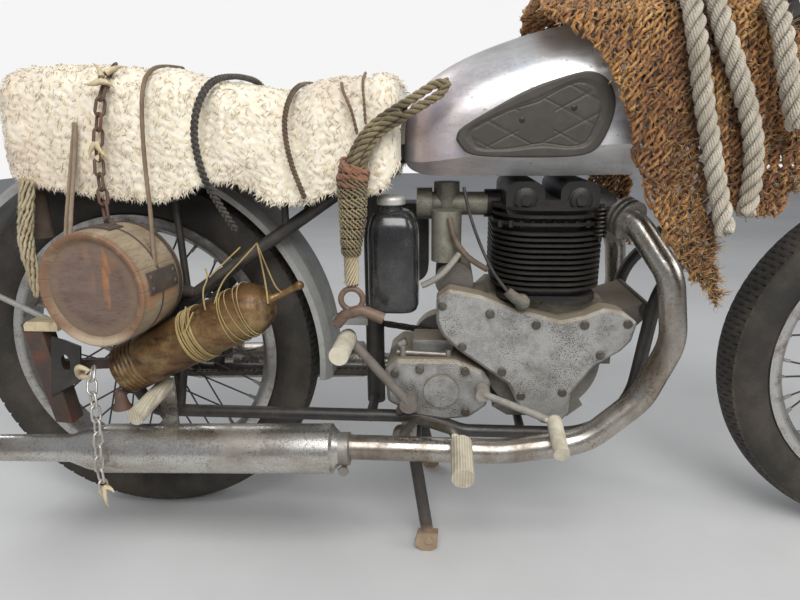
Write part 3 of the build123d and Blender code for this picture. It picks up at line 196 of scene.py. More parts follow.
class Form:
    """Gathers the points and faces of one piece."""

    def __init__(self):
        self.points = []
        self.faces = []

    def add(self, points, faces):
        start = len(self.points)
        self.points += [tuple(point) for point in points]
        self.faces += [tuple(start + corner for corner in face) for face in faces]

    def rings(self, points, sides, closed=False):
        """Faces over rings of points one behind the other, capped unless closed on themselves."""
        count = len(points) // sides
        faces = []
        for index in range(count if closed else count - 1):
            there = (index + 1) % count
            for side in range(sides):
                after = (side + 1) % sides
                faces.append((index * sides + side, index * sides + after, there * sides + after,
                              there * sides + side))
        if not closed:
            faces += [tuple(reversed(range(sides))), tuple(range((count - 1) * sides, count * sides))]
        self.add(points, faces)

    def tube(self, line, radius, sides, squeeze=1.0, closed=False):
        """A round or oval tube along a line of points, capped unless closed on itself."""
        line = [Vector(point) for point in line]
        radii = radius if hasattr(radius, "__len__") else [radius] * len(line)
        ring = None
        points = []
        for index, centre in enumerate(line):
            if closed:
                run = (line[(index + 1) % len(line)] - line[index - 1]).normalized()
            else:
                run = heading(line, index)
            ring = square(run.orthogonal().normalized() if ring is None else ring, run)
            other = run.cross(ring)
            for side in range(sides):
                turn = math.tau * side / sides
                points.append(centre + radii[index] * (ring * math.cos(turn) + other * math.sin(turn) * squeeze))
        self.rings(points, sides, closed)

    def spike(self, line, thick):
        """A loose fibre: three-sided, drawn out to a point at the end of the line."""
        line = [Vector(point) for point in line]
        side = (line[1] - line[0]).orthogonal().normalized()
        points = []
        for index, centre in enumerate(line[:-1]):
            run = heading(line, index)
            side = square(side, run)
            points += [centre + thick * (1 - 0.25 * index) * radial(side, run.cross(side), turn)
                       for turn in (0.0, 2.09, 4.19)]
        tip = len(points)
        faces = [(2, 1, 0)]
        for ring in range(0, tip - 3, 3):
            faces += [(ring + a, ring + b, ring + b + 3, ring + a + 3) for a, b in ((0, 1), (1, 2), (2, 0))]
        faces += [(tip - 3 + a, tip - 3 + b, tip) for a, b in ((0, 1), (1, 2), (2, 0))]
        self.add(points + [line[-1]], faces)

    def lathe(self, profile, start, end, sides):
        """Turns (along, radius) pairs about the line from start towards end."""
        start = Vector(start)
        run = (Vector(end) - start).normalized()
        ring = run.orthogonal().normalized()
        other = run.cross(ring)
        self.rings([start + run * along + max(radius, LEAST_RADIUS) * radial(ring, other, math.tau * side / sides)
                    for along, radius in profile for side in range(sides)], sides)

    def slab(self, outline, normal, thickness, bevel=0.0):
        """A flat plate from a closed outline of points, raised along normal, its top edge drawn in by bevel."""
        outline = [Vector(point) for point in outline]
        normal = Vector(normal).normalized()
        middle = sum(outline, Vector()) / len(outline)
        points = outline + [point + normal * (thickness - bevel) for point in outline]
        if bevel:
            points += [point + (middle - point).normalized() * bevel + normal * thickness for point in outline]
        self.rings(points, len(outline))

    def done(self, name, finish, body="chassis", smooth=True, replaces=(), *, slot, bend=40):
        mesh = bpy.data.meshes.new(name)
        mesh.from_pydata(self.points, [], self.faces)
        mesh.validate()
        mesh.update()
        if smooth:
            mesh.shade_smooth()
            mesh.set_sharp_from_angle(angle=math.radians(bend))
        mesh.materials.append(finish)
        piece = bpy.data.objects.new(name, mesh)
        bpy.context.scene.collection.objects.link(piece)
        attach(piece, body)
        if replaces:
            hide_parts(*replaces)
        return piece


def spline_line(route):
    """The smooth line of a cord whose control points are the route, in metres."""
    curve = bpy.data.curves.new("line", "CURVE")
    curve.dimensions = "3D"
    curve.resolution_u = 24
    spline = curve.splines.new("NURBS")
    spline.points.add(len(route) - 1)
    for point, place in zip(spline.points, route):
        point.co = (*place, 1)
    spline.order_u = 3
    spline.use_endpoint_u = True
    holder = bpy.data.objects.new("line", curve)
    bpy.context.scene.collection.objects.link(holder)
    mesh = bpy.data.meshes.new_from_object(holder)
    line = [vertex.co.copy() for vertex in mesh.vertices]
    bpy.data.objects.remove(holder)
    return line


def from_axle(route):
    """Millimetres ahead of the rear axle, to the left and up, in the part's metres."""
    return [(REAR + x / 1000, y / 1000, z / 1000) for x, y, z in route]
def at_mm(x, y, z):
    """The same for one place, as a vector."""
    return Vector(from_axle([(x, y, z)])[0])
def spread(line, step):
    """Points evenly spaced along a line."""
    lengths = [0.0]
    for before, after in zip(line, line[1:]):
        lengths.append(lengths[-1] + (after - before).length)
    count = max(2, round(lengths[-1] / step) + 1)
    return [Vector([np.interp(lengths[-1] * index / (count - 1), lengths, [point[axis] for point in line])
                    for axis in range(3)]) for index in range(count)]
def laid(route, step=None):
    """The smooth line along a route from the rear axle, evenly spaced if a step is given."""
    line = spline_line(from_axle(route))
    return spread(line, step) if step else line
def twisted(line, radius, strands, pitch, step=0.004, start=0.0):
    """The centre lines of strands laid round a line."""
    line = spread(line, step)
    side = (line[1] - line[0]).orthogonal().normalized()
    out = [[] for _ in range(strands)]
    for index, point in enumerate(line):
        run = heading(line, index)
        side = square(side, run)
        for strand in range(strands):
            turn = start + math.tau * (strand / strands + index * step / pitch)
            out[strand].append(point + radius * radial(side, run.cross(side), turn))
    return out


def hairs(form, line, radius, count, length, seed):
    """Loose fibres that stand out of a rope."""
    chance = random.Random(seed)
    for _ in range(count):
        index = chance.randrange(1, len(line) - 1)
        run = heading(line, index)
        side = (run.orthogonal().normalized() @ Matrix.Rotation(chance.random() * math.tau, 3, run)).normalized()
        root = line[index] + side * radius * 0.85
        reach = length * chance.uniform(0.3, 1.0)
        lean = (side * (0.5 + chance.random()) + run * chance.uniform(-1.2, 1.2)).normalized()
        curl = Vector([chance.uniform(-1, 1) for _ in range(3)]) * reach * 0.2
        form.spike([root, root + lean * reach * 0.5 + curl * 0.5, root + lean * reach + curl], 0.00022)


def fibre(name, pale, dark):
    """Dry plant fibre: pale and dark by patches, with painted shade between the yarns."""
    finish = Finish(name, rough=0.9, Sheen_Weight=0.2)
    broad = finish.noise(22, 4).between(0.3, 0.7)
    fine = finish.noise(720, 4, 0.7)
    colour = finish.mix(broad, pale, dark)
    colour = finish.mix(fine.between(0.45, 0.75) * 0.55, colour, tuple(part * 0.35 for part in dark))
    colour = finish.mix(finish.hollows(0.006) * 0.8, colour, tuple(part * 0.25 for part in dark))
    return finish.end(colour, height=fine, strength=0.8, depth=0.0012)


def cord(form, name, route, diameter, finish, slot, replaces=()):
    """Makes the finished form, a free cord along its route's line, into a piece."""
    line = laid(route)
    piece = form.done(name, finish, replaces=replaces, slot=slot, bend=100)
    length = sum((after - before).length for before, after in zip(line, line[1:]))
    [tuple(point) for point in spread(line, 0.008)]
    return piece


pale_rope = fibre("weathered_rope", (0.62, 0.56, 0.45), (0.42, 0.36, 0.27))
tan_rope = fibre("tan_braid", (0.42, 0.335, 0.175), (0.13, 0.095, 0.05))
straw_rope = fibre("frayed_straw", (0.62, 0.53, 0.34), (0.36, 0.27, 0.15))
dark_cord = fibre("dark_braid", (0.10, 0.085, 0.065), (0.035, 0.03, 0.025))
brown_cord = fibre("brown_braid", (0.26, 0.17, 0.10), (0.09, 0.055, 0.035))
REAR_ROPE = [
    (884, 60, 933.2), (884, 0, 933.8), (882, -80, 938.5), (880, -155, 908), (884, -193, 846), (896, -195, 785),
    (914, -198, 716), (929, -209, 648), (938, -231, 590),
]
FRONT_ROPE = [
    (912.6, 50, 933.2), (912.6, -10, 933.8), (912, -80, 938.5), (911, -155, 908), (916, -193, 848),
    (944, -195, 790), (970, -196, 725), (980, -198, 662), (971, -207, 612),
]
FAR_ROPE = [
    (984, -160, 892), (985, -184, 870), (987, -200, 842), (993, -214, 796), (1004, -216, 758), (1016, -214, 726),
]
for name, route, hair, replaced in (("laid_rope_rear", REAR_ROPE, 420, ["rope_a"]),
                                    ("laid_rope_front", FRONT_ROPE, 380, ["rope_b"]),
                                    ("laid_rope_far", FAR_ROPE, 160, [])):
    line = laid(route)
    form = Form()
    for strand in twisted(line, 0.0071, 3, 0.062):
        form.tube(strand, 0.0048, 8)
        for yarn in twisted(strand, 0.0046, 8, -0.034):
            form.tube(yarn, 0.0022, 4)
    hairs(form, spread(line, 0.003), 0.014, hair, 0.0058, seed=hair)
    cord(form, name, route, 0.028, pale_rope, "rope_fibre", replaced)

FRAYED = [(-83, -154.4, 657), (-95, -155, 604), (-104, -158, 551), (-92, -162, 500), (-90, -160, 473)]
line = laid(FRAYED)
form = Form()
chance = random.Random(5)
for layer, count, pitch in ((0.0085, 9, 0.21), (0.0035, 4, -0.16)):
    for strand in twisted(line, layer, count, pitch, start=chance.random()):
        sway = [Vector([chance.uniform(-1, 1) for _ in range(3)]) * 0.0011 for _ in strand]
        form.tube([point + drift for point, drift in zip(strand, sway)],
                  [0.0027 * chance.uniform(0.75, 1.25) for _ in strand], 7)
hairs(form, spread(line, 0.003), 0.012, 420, 0.006, seed=5)
cord(form, "frayed_tail_rope", FRAYED, 0.024, straw_rope, "rope_fibre", ["frayed_rope"])

# Two small ropes come off the tank together, are lashed once, and run on inside a netted sleeve.
BRAID = [
    (566, -142, 792), (508, -152, 757), (452, -158, 724), (424, -166, 668), (428, -170, 606), (421, -170, 550),
    (422, -170, 497),
]
line = laid(BRAID, 0.003)
form = Form()
for offset, lift, first, last in ((-0.0078, 0.0, 0.0, 0.55), (0.0078, 0.0, 0.0, 0.55), (0.0, -0.0085, 0.22, 0.55),
                                  (-0.0045, 0.0, 0.5, 1.0), (0.0045, 0.0, 0.5, 1.0)):
    rope = []
    for index in range(round(first * len(line)), min(len(line), round(last * len(line)) + 1)):
        run = heading(line, index)
        wide = run.cross(Vector((0, 1, 0))).normalized()
        joins = min(1.0, index / 6) * (1.0 if last < 0.9 else max(0.35, 1 - index / len(line) * 0.3))
        rope.append(line[index] + wide * offset * joins + wide.cross(run) * lift)
    for strand in twisted(rope, 0.0038, 3, 0.036, step=0.0032):
        form.tube(strand, 0.0022, 5)
        for yarn in twisted(strand, 0.0023, 5, -0.019, step=0.0032):
            form.tube(yarn, 0.0014, 4)
hairs(form, line, 0.013, 420, 0.005, seed=6)
# The sleeve is rings of yarn, each waved against the next; straw strands come out at its end.
bands, meshes, sleeve_yarn, wave = 30, 14, 0.0016, 0.0016
count = len(line)
covered = line[round(count * 0.56):round(count * 0.86)]
side = (covered[1] - covered[0]).orthogonal().normalized()
sleeve = Form()
for band in range(bands):
    share = band / (bands - 1)
    at = round(share * (len(covered) - 1))
    run = heading(covered, at)
    flat = square(side, run)
    radius = float(np.interp(share, [0, 0.5, 1], (0.0205, 0.0185, 0.0125)))
    loop = []
    for step in range(meshes * 4):
        turn = math.tau * step / (meshes * 4)
        phase = turn * meshes + band * math.pi
        loop.append(covered[at] + (radius + wave * math.sin(phase)) * radial(flat, run.cross(flat), turn)
                    + run * wave * 1.6 * math.cos(phase))
    sleeve.tube(loop, sleeve_yarn, 5, closed=True)
sleeve = sleeve.done("braid_sleeve", tan_rope, slot="rope_fibre", bend=80)
tail = Form()
ends = line[round(count * 0.85):count - 1]
for layer, strands, pitch in ((0.0092, 13, 0.11), (0.0045, 6, -0.12)):
    for strand in twisted(ends, layer, strands, pitch, step=0.003):
        tail.tube(strand, [0.0024 - 0.0007 * index / len(strand) for index in range(len(strand))], 6)
hairs(tail, ends, 0.009, 90, 0.006, seed=9)
tail = tail.done("braid_sleeve_end", straw_rope, slot="rope_fibre", bend=80)
copper_cord = fibre("copper_lashing", (0.42, 0.20, 0.10), (0.17, 0.075, 0.04))
lashing = Form()
chance = random.Random(8)
for winding in range(7):
    at = round(count * (0.50 + 0.011 * winding))
    middle = line[at]
    run = heading(line, at)
    tilt = run.orthogonal().normalized() @ Matrix.Rotation(chance.uniform(0, math.tau), 3, run)
    flat = (tilt + run * chance.uniform(-0.35, 0.35)).normalized()
    other = run.cross(tilt).normalized()
    loop = [middle + (0.0200 + 0.0016 * math.sin(3 * angle + winding)) * radial(flat, other, angle)
            for angle in [math.tau * step / 40 for step in range(40)]]
    for strand in (0, 1):
        lashing.tube([point + radial(run, (point - middle).normalized(), step * 0.9 + strand * math.pi) * 0.0019
                      for step, point in enumerate(loop)], 0.0025, 6, closed=True)
lashing = lashing.done("copper_lashing", copper_cord, slot="rope_fibre", bend=80)
cord(form, "tank_braid", BRAID, 0.030, tan_rope, "rope_fibre", ["braid"])

# The chain that holds the drum: rusty links, each turned a quarter from the last.
# It comes over the fleece and ends in the drum's strap; spiked bone plates are tied into it.


def worn(name, base, stain, dirt_and_shade, scale, stained, dirty, metallic, rough, bump=0.3, depth=0.0006, pits=0.0,
         crevice=0.5, grain=None, part=None, dusty=0.0, **fixed):
    """A surface of one colour with stains, pits and dust on top; part is a second material beyond a place. The dirt
    colour also fills the hollows by crevice, as painted shade where it is darker than the base.
    """
    finish = Finish(name, **fixed)
    broad = finish.noise(scale, 5, 0.6, stretch=grain)
    fine = finish.noise(scale * 9, 4, 0.65)
    stains = broad.between(0.45, 0.7) * stained
    dirt_dust_and_shade_mask = finish.noise(scale * 0.45, 6, 0.7).between(0.5, 0.72) * dirty
    other = None
    if part:
        letter, low, high, bare, bare_stain = part
        other = finish.axis(letter).between(low, high)
        base, stain = finish.mix(other, base, bare), finish.mix(other, stain, bare_stain)
    colour = finish.mix(stains, base, stain)
    colour = finish.mix(fine.between(0.5, 0.8) * (0.5 * stained), colour, stain)
    # Hollows take the dirt colour too: painted shade where that colour is darker than the base, dust where it is paler.
    if crevice:
        dirt_dust_and_shade_mask = dirt_dust_and_shade_mask.maths("MAXIMUM", dirt_dust_and_shade_mask, finish.hollows(0.015) * crevice)
    colour = finish.mix(dirt_dust_and_shade_mask, colour, dirt_and_shade)
    height = fine
    if pits:
        patch = finish.noise(scale * 0.6, 3, 0.6).between(0.44, 0.60)
        spots = finish.noise(scale * 16, 2, 0.5).between(0.565, 0.64) * (patch * 0.8 + 0.2)
        spots = spots.maths("MAXIMUM", spots, (1 - finish.cells(scale * 5).between(0.08, 0.22)) * patch)
        colour = finish.mix(spots * pits, colour, dirt_and_shade)
        height = fine * 0.4 - spots
    if dusty:
        up = finish.axis("Z", finish.node("ShaderNodeTexCoord", out="Normal"))
        dust = up.between(0.25, 0.85) * (broad * 0.6 + 0.6) * dusty
        colour = finish.mix(dust, colour, (0.30, 0.245, 0.165))
        dirt_dust_and_shade_mask = dirt_dust_and_shade_mask.maths("MAXIMUM", dirt_dust_and_shade_mask, dust)
    shine = rough[0] + (rough[1] - rough[0]) * fine.between(0.3, 0.7) + dirt_dust_and_shade_mask * 0.3
    metal = (1 - dirt_dust_and_shade_mask * 0.85) * metallic if metallic else None
    if metallic and part:
        metal = metal * (1 - other)
        shine = shine + other * 0.25
    return finish.end(colour, shine, height, bump, depth, metal)


rusty_iron = worn("rusty_iron", (0.15, 0.10, 0.075), (0.20, 0.075, 0.035), (0.08, 0.06, 0.05), 60, 0.7, 0.6, 0.45,
                  (0.6, 0.85), 0.8, 0.0008)
bright_chain = worn("bright_chain", (0.62, 0.60, 0.55), (0.34, 0.28, 0.2), (0.16, 0.09, 0.05), 80, 0.5, 0.4, 0.85,
                    (0.3, 0.5), 0.4, 0.0006)
bone = worn("old_bone", (0.62, 0.52, 0.34), (0.42, 0.28, 0.14), (0.16, 0.09, 0.05), 70, 0.7, 0.5, 0.0, (0.4, 0.6),
            0.4, 0.0006)


def links(form, line, length, width, wire, turn):
    """Oval links along a line, each at right angles to the last."""
    spaced = spread(line, length - 2 * wire)
    side = (spaced[1] - spaced[0]).orthogonal().normalized()
    for index, (here, there) in enumerate(zip(spaced, spaced[1:])):
        run = (there - here).normalized()
        side = square(side, run)
        flat = side @ Matrix.Rotation(turn + (index % 2) * math.pi / 2, 3, run)
        middle = (here + there) / 2
        straight = (length - width) / 2
        loop = []
        for corner in range(16):
            angle = math.tau * corner / 16
            push = straight if math.cos(angle) >= 0 else -straight
            loop.append(middle + run * (math.cos(angle) * (width / 2 - wire / 2) + push)
                        + flat * math.sin(angle) * (width / 2 - wire / 2))
        form.tube(loop, wire / 2, 7, closed=True)


def thorn(form, root, tip, radius):
    """A bowed spike of bone between two places."""
    root, tip = at_mm(*root), at_mm(*tip)
    bow = (tip - root).orthogonal().normalized() * radius * 0.5
    form.tube([root, root.lerp(tip, 0.35) + bow, root.lerp(tip, 0.7) + bow, tip],
              [radius, radius * 0.8, radius * 0.45, radius * 0.08], 8)


DRUM_CHAIN = [
    (56, -108, 826), (54, -146, 796), (42, -152, 740), (36, -156, 684), (40, -164, 636), (46, -172, 600),
]
LOW_CHAIN = [
    (12, -212, 370), (16, -228, 356), (23, -243, 336), (30, -250, 306), (27, -251, 272), (22, -251, 235),
    (19, -250, 200), (22, -248, 168),
]
form = Form()
for root, tip in (((52, -148, 800), (28, -152, 796)), ((52, -148, 800), (74, -150, 790)),
                  ((58, -140, 812), (84, -132, 822)), ((54, -146, 806), (40, -140, 826)),
                  ((38, -158, 712), (26, -160, 690)), ((38, -158, 712), (54, -158, 690)),
                  ((36, -158, 688), (52, -160, 706))):
    thorn(form, root, tip, 0.0052)
spikes = form.done("chain_spikes", bone, slot="rusty_iron", bend=60)
form = Form()
links(form, laid(DRUM_CHAIN), 0.031, 0.0186, 0.0048, 0.4)
cord(form, "drum_chain_links", DRUM_CHAIN, 0.012, rusty_iron, "rusty_iron", ["drum_chain"])
form = Form()
for root, tip in (((22, -248, 180), (26, -250, 140)), ((21, -248, 178), (6, -250, 166)),
                  ((22, -248, 178), (38, -250, 170))):
    thorn(form, root, tip, 0.0048)
hook_end = form.done("low_chain_spikes", bone, slot="rusty_iron", bend=60)
form = Form()
links(form, laid(LOW_CHAIN), 0.030, 0.018, 0.0040, 0.2)
cord(form, "low_chain_links", LOW_CHAIN, 0.012, bright_chain, "rusty_iron")

# Frame, stand, yokes and small steel: black stove enamel, thin at the edges and dusty on top.
# The stand's feet are worn bare, and the rubbers of the kick pedal and gear lever are pale.
enamel = worn("old_black_enamel", (0.028, 0.026, 0.024), (0.075, 0.06, 0.045), (0.13, 0.105, 0.08), 26, 0.5, 0.55, 0.0,
              (0.3, 0.55), 0.25, 0.0005)
stand_enamel = worn("stand_enamel", (0.38, 0.27, 0.17), (0.25, 0.17, 0.11), (0.13, 0.105, 0.08), 26, 0.5, 0.5, 0.0,
                    (0.4, 0.6), 0.3, 0.0006, part=("Z", 0.034, 0.05, (0.03, 0.027, 0.025), (0.075, 0.055, 0.04)))
oil_tank_black = worn("dusty_black_gloss", (0.014, 0.014, 0.015), (0.05, 0.048, 0.045), (0.10, 0.095, 0.085), 34,
                      0.35, 0.45, 0.0, (0.12, 0.3), 0.12, 0.0004, Coat_Weight=0.5, Coat_Roughness=0.15,
                      part=("Z", 0.6125, 0.6135, (0.50, 0.47, 0.42), (0.34, 0.30, 0.25)))
dull_steel = worn("dull_steel", (0.36, 0.34, 0.31), (0.19, 0.16, 0.13), (0.10, 0.07, 0.05), 40, 0.6, 0.6, 0.85,
                  (0.38, 0.6), 0.35, 0.0006, pits=0.3)
chrome = worn("stained_chrome", (0.60, 0.585, 0.55), (0.31, 0.255, 0.19), (0.12, 0.085, 0.06), 22, 0.75, 0.6, 0.92,
              (0.18, 0.36), 0.12, 0.0004, pits=0.6, grain=(0.35, 1.0, 1.0))
pipe_chrome = worn("heat_stained_pipe", (0.43, 0.405, 0.365), (0.19, 0.14, 0.095), (0.08, 0.055, 0.035), 16,
                   0.85, 0.6, 0.92, (0.2, 0.38), 0.05, 0.0004, pits=0.5, grain=(1.0, 1.0, 0.45))
alloy = worn("pitted_alloy", (0.47, 0.465, 0.45), (0.22, 0.20, 0.165), (0.028, 0.021, 0.015), 34, 0.7, 0.4, 0.75,
             (0.28, 0.46), 0.6, 0.0010, pits=1.0, crevice=1.0, dusty=0.95)
grimy_alloy = worn("grimy_alloy", (0.22, 0.205, 0.18), (0.11, 0.095, 0.075), (0.05, 0.038, 0.028), 30, 0.7, 0.6, 0.6,
                   (0.45, 0.65), 0.5, 0.0008, pits=0.4, crevice=0.9, dusty=0.6)
body_alloy = worn("carburettor_alloy", (0.32, 0.305, 0.245), (0.16, 0.145, 0.105), (0.06, 0.045, 0.03), 40, 0.8,
                  0.7, 0.5, (0.4, 0.6), 0.4, 0.0007, pits=0.3, crevice=0.9)
black_iron = worn("black_iron", (0.0115, 0.011, 0.0105), (0.026, 0.022, 0.019), (0.06, 0.047, 0.036), 30, 0.5,
                  0.3, 0.1, (0.36, 0.55), 0.4, 0.0006, dusty=0.07)
pale_paint = worn("pale_guard_paint", (0.42, 0.42, 0.40), (0.28, 0.26, 0.23), (0.14, 0.11, 0.08), 20, 0.6, 0.55, 0.3,
                  (0.35, 0.55), 0.3, 0.0005, pits=0.3)
old_rubber = worn("aged_rubber", (0.044, 0.037, 0.030), (0.072, 0.061, 0.048), (0.018, 0.015, 0.012), 30, 0.6,
                  0.25, 0.0, (0.42, 0.62), 0.4, 0.0006, crevice=0.95, dusty=0.2)
brown_cloth = worn("wrapped_cloth", (0.10, 0.07, 0.05), (0.16, 0.12, 0.09), (0.05, 0.04, 0.03), 70, 0.6, 0.5, 0.0,
                   (0.85, 0.95), 0.8, 0.001)
red_lens = worn("faded_red_lens", (0.30, 0.015, 0.012), (0.2, 0.02, 0.015), (0.14, 0.08, 0.05), 40, 0.4, 0.4, 0.0,
                (0.15, 0.35), 0.2, 0.0004, Coat_Weight=0.4)
PERISHED = (0.62, 0.57, 0.44), (0.44, 0.38, 0.28)
kick_steel = worn("kick_pedal_steel", *PERISHED, (0.18, 0.14, 0.10), 45, 0.6, 0.5, 0.0, (0.5, 0.7), 0.4, 0.0007,
                  part=("Y", -0.156, -0.154, (0.17, 0.15, 0.13), (0.09, 0.07, 0.05)))
gear_steel = worn("gear_lever_steel", *PERISHED, (0.18, 0.14, 0.10), 45, 0.6, 0.5, 0.0, (0.5, 0.7), 0.4, 0.0007,
                  part=("Y", -0.177, -0.175, (0.30, 0.28, 0.245), (0.15, 0.12, 0.09)))


def ribbed_rubber(name, arm):
    """Perished ribbed rubber out from the arm's end; the arm itself is dark worn steel."""
    finish = Finish(name)
    broad = finish.noise(50, 5, 0.6)
    ridge = finish.axis("X") * 1500.0
    ridge = ridge.maths("SINE", ridge) * 0.5 + 0.5
    colour = finish.mix(broad.between(0.4, 0.7), *PERISHED)
    # Grooves between the ribs and the hollows are darkened: painted shade.
    colour = finish.mix((1 - ridge) * 0.35, colour, (0.24, 0.18, 0.12))
    colour = finish.mix(finish.hollows(0.012) * 0.7, colour, (0.16, 0.11, 0.07))
    out = finish.axis("Y")
    out = out.maths("ABSOLUTE", out).between(arm - 0.001, arm)
    colour = finish.mix(out, finish.mix(broad.between(0.4, 0.7), (0.17, 0.15, 0.13), (0.09, 0.07, 0.05)), colour)
    return finish.end(colour, 0.48 + out * 0.2, ridge * out + broad * 0.3, 0.6, 0.0012, 0.7 - out * 0.7)


def dress(finish, *names):
    for name in names:
        slots = nodes[name].data.materials
        slots.clear()
        slots.append(finish)


dress(enamel, "frame_spine", "frame_cradle_right", "frame_cradle_left", "frame_stay_right", "frame_stay_left",
      "fork_yokes", "headlamp", "seat_pan", "engine_mount", "tool_box")
dress(stand_enamel, "centre_stand")
dress(dull_steel, "rear_axle", "front_axle", "stand_bracket")
dress(kick_steel, "kickstart")
dress(gear_steel, "gear_lever")
dress(chrome, "silencer_right", "handlebar")
dress(pipe_chrome, "exhaust_right", "exhaust_left")
dress(alloy, "timing_cover", "gearbox", "primary_case")
dress(grimy_alloy, "crankcase", "magneto", "fork_legs")
dress(body_alloy, "carburettor")
dress(black_iron, "barrel", "cylinder_head")
dress(oil_tank_black, "oil_tank")
dress(pale_paint, "rear_mudguard")
dress(old_rubber, "grips")
dress(ribbed_rubber("footrest_rubber", 0.207), "footrests")
dress(ribbed_rubber("pillion_rubber", 0.140), "pillion_rests")
dress(worn("carrier_iron", (0.065, 0.05, 0.042), (0.19, 0.06, 0.035), (0.15, 0.12, 0.09), 30, 0.75, 0.6, 0.1,
           (0.55, 0.8), 0.6, 0.0008), "carrier_leg")
dress(worn("horn_and_iron", (0.15, 0.09, 0.062), (0.07, 0.045, 0.035), (0.33, 0.24, 0.155), 45, 0.8, 0.5, 0.0,
           (0.35, 0.6), 0.5, 0.0007), "hook_ring")
dress(brown_cloth, "wrapped_roll")
dress(red_lens, "tail_lamp")

# Small parts on the cad pieces: lamp rim and glass, the oil tank's rounded shell and cap, screws, the coil spring,
# clamp bands, the slotted plate with its bone cap and claw, and a bell. All but the shell bear on a cad piece.
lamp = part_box("headlamp")
lamp_x, lamp_z = lamp[1][0], (lamp[0][2] + lamp[1][2]) / 2
form = Form()
form.lathe([(-0.008, 0.0862), (-0.004, 0.0885), (0.002, 0.0885), (0.005, 0.085), (0.0045, 0.080), (0.001, 0.079)],
           (lamp_x, 0, lamp_z), (lamp_x + 1, 0, lamp_z), 64)
form.done("lamp_rim", chrome, "steering", slot="worn_chrome")
form = Form()
form.lathe([(0.001, 0.080)] + [(0.001 + 0.012 * math.cos(math.radians(turn)), 0.080 * math.sin(math.radians(turn)))
                               for turn in range(84, -1, -7)], (lamp_x, 0, lamp_z), (lamp_x + 1, 0, lamp_z), 64)
glass = worn("lamp_glass", (0.55, 0.57, 0.56), (0.40, 0.41, 0.39), (0.3, 0.27, 0.22), 30, 0.5, 0.4, 0.0, (0.06, 0.2),
             0.1, 0.0003, crevice=0.0, Coat_Weight=0.8)
form.done("lamp_glass", glass, "steering", slot="worn_chrome")
form = Form()
shell = []
for level, wide, deep in ((441, 0.86, 0.86), (444, 0.94, 0.94), (452, 1, 1), (520, 1, 1), (562, 0.995, 1),
                          (578, 0.96, 0.97), (590, 0.88, 0.89), (598, 0.76, 0.77), (603, 0.60, 0.60),
                          (605, 0.46, 0.46)):
    for step in range(48):
        turn = math.tau * step / 48
        x, y = (math.copysign(abs(value) ** 0.55, value) for value in (math.cos(turn), math.sin(turn)))
        shell.append((481 + 41 * wide * x - 3 * (1 - wide), -98 + 40 * deep * y, level))
form.rings(from_axle(shell), 48)
form.lathe([(0, 0.0185), (0.004, 0.0185), (0.004, 0.017), (0.010, 0.017)], at_mm(478, -98, 603),
           at_mm(478, -98, 613), 40)
for level in (470, 570):
    form.slab(from_axle([(449, -60, level - 7), (479, -60, level - 7), (479, -60, level + 7), (449, -60, level + 7)]),
              (0, 1, 0), 0.052)
form.done("oil_tank_shell", oil_tank_black, replaces=["oil_tank"], slot="black_gloss", bend=50)
form = Form()
form.lathe([(0, 0.0215), (0.001, 0.0228), (0.008, 0.023), (0.0115, 0.0222), (0.0135, 0.0195), (0.0150, 0.012),
            (0.0153, 0.003), (0.0143, 0.0026), (0.0143, 0.0005)], *from_axle([(478, -98, 612.6), (478, -98, 628)]), 48)
form.done("oil_tank_cap", worn("satin_cap", (0.62, 0.61, 0.57), (0.40, 0.37, 0.31), (0.20, 0.17, 0.12), 40, 0.5, 0.4,
                               0.6, (0.35, 0.5), 0.2, 0.0004), slot="black_gloss", bend=50)
form = Form()
for x, z in ((561, 450), (638, 438), (713, 420), (790, 421), (858, 424), (594, 380), (661, 337), (694, 294), (762, 302),
             (819, 370), (524, 338), (600, 336), (602, 262), (482, 330), (490, 262)):
    at, way = at_mm(x, -117, z), at_mm(x, -127, z)
    form.lathe([(0, 0.0062), (0.0001, 0.0072), (0.0030, 0.0072), (0.0041, 0.0060), (0.0042, 0.0016), (0.0030, 0.0015)],
               at, way, 20)
    lean = Vector((math.cos(x * 1.7), 0, math.sin(x * 1.7))) * 0.0052
    side = Vector((-lean.z, 0, lean.x)) * 0.16
    out = Vector((0, -0.0045, 0))
    form.slab([at + out - lean - side, at + out + lean - side, at + out + lean + side, at + out - lean + side],
              (0, -1, 0), 0.0003)
form.done("cover_screws", worn("dark_screws", (0.12, 0.105, 0.085), (0.06, 0.05, 0.04), (0.30, 0.27, 0.22), 120,
                               0.6, 0.4, 0.7, (0.35, 0.55), 0.3, 0.0004), slot="pitted_alloy")
form = Form()
coil = 8.5
form.tube([at_mm(806 + coil * math.cos(step * math.tau / 16), -103 + coil * math.sin(step * math.tau / 16),
                 562 + 46 * step / 112) for step in range(113)], 0.0021, 7)
form.tube(from_axle([(806, -103, 556), (806, -103, 614)]), 0.0035, 8)
form.done("lifter_spring", worn("spring_steel", (0.055, 0.05, 0.045), (0.10, 0.085, 0.07), (0.02, 0.017, 0.014),
                                90, 0.6, 0.5, 0.9, (0.25, 0.45), 0.3, 0.0004), slot="dull_steel", bend=60)
form = Form()
tail = Vector((400, 0, 12)).normalized()
clamp = at_mm(405, -197, 231)
for side in (1, -1):
    at = Vector((clamp.x, clamp.y * side, clamp.z))
    form.lathe([(-0.009, 0.0225), (-0.009, 0.0265), (0.009, 0.0265), (0.009, 0.0225)], at, at + tail, 40)
    form.lathe([(0, 0.0045), (0.040, 0.0045)], at + Vector((0, -0.016, -0.031)), at + Vector((0, 1, -0.031)), 10)
    form.lathe([(0, 0.009), (0.005, 0.009)], at + Vector((0, -0.020, -0.031)), at + Vector((0, 1, -0.031)), 6)
form.done("silencer_clamps", dull_steel, slot="dull_steel")
form = Form()
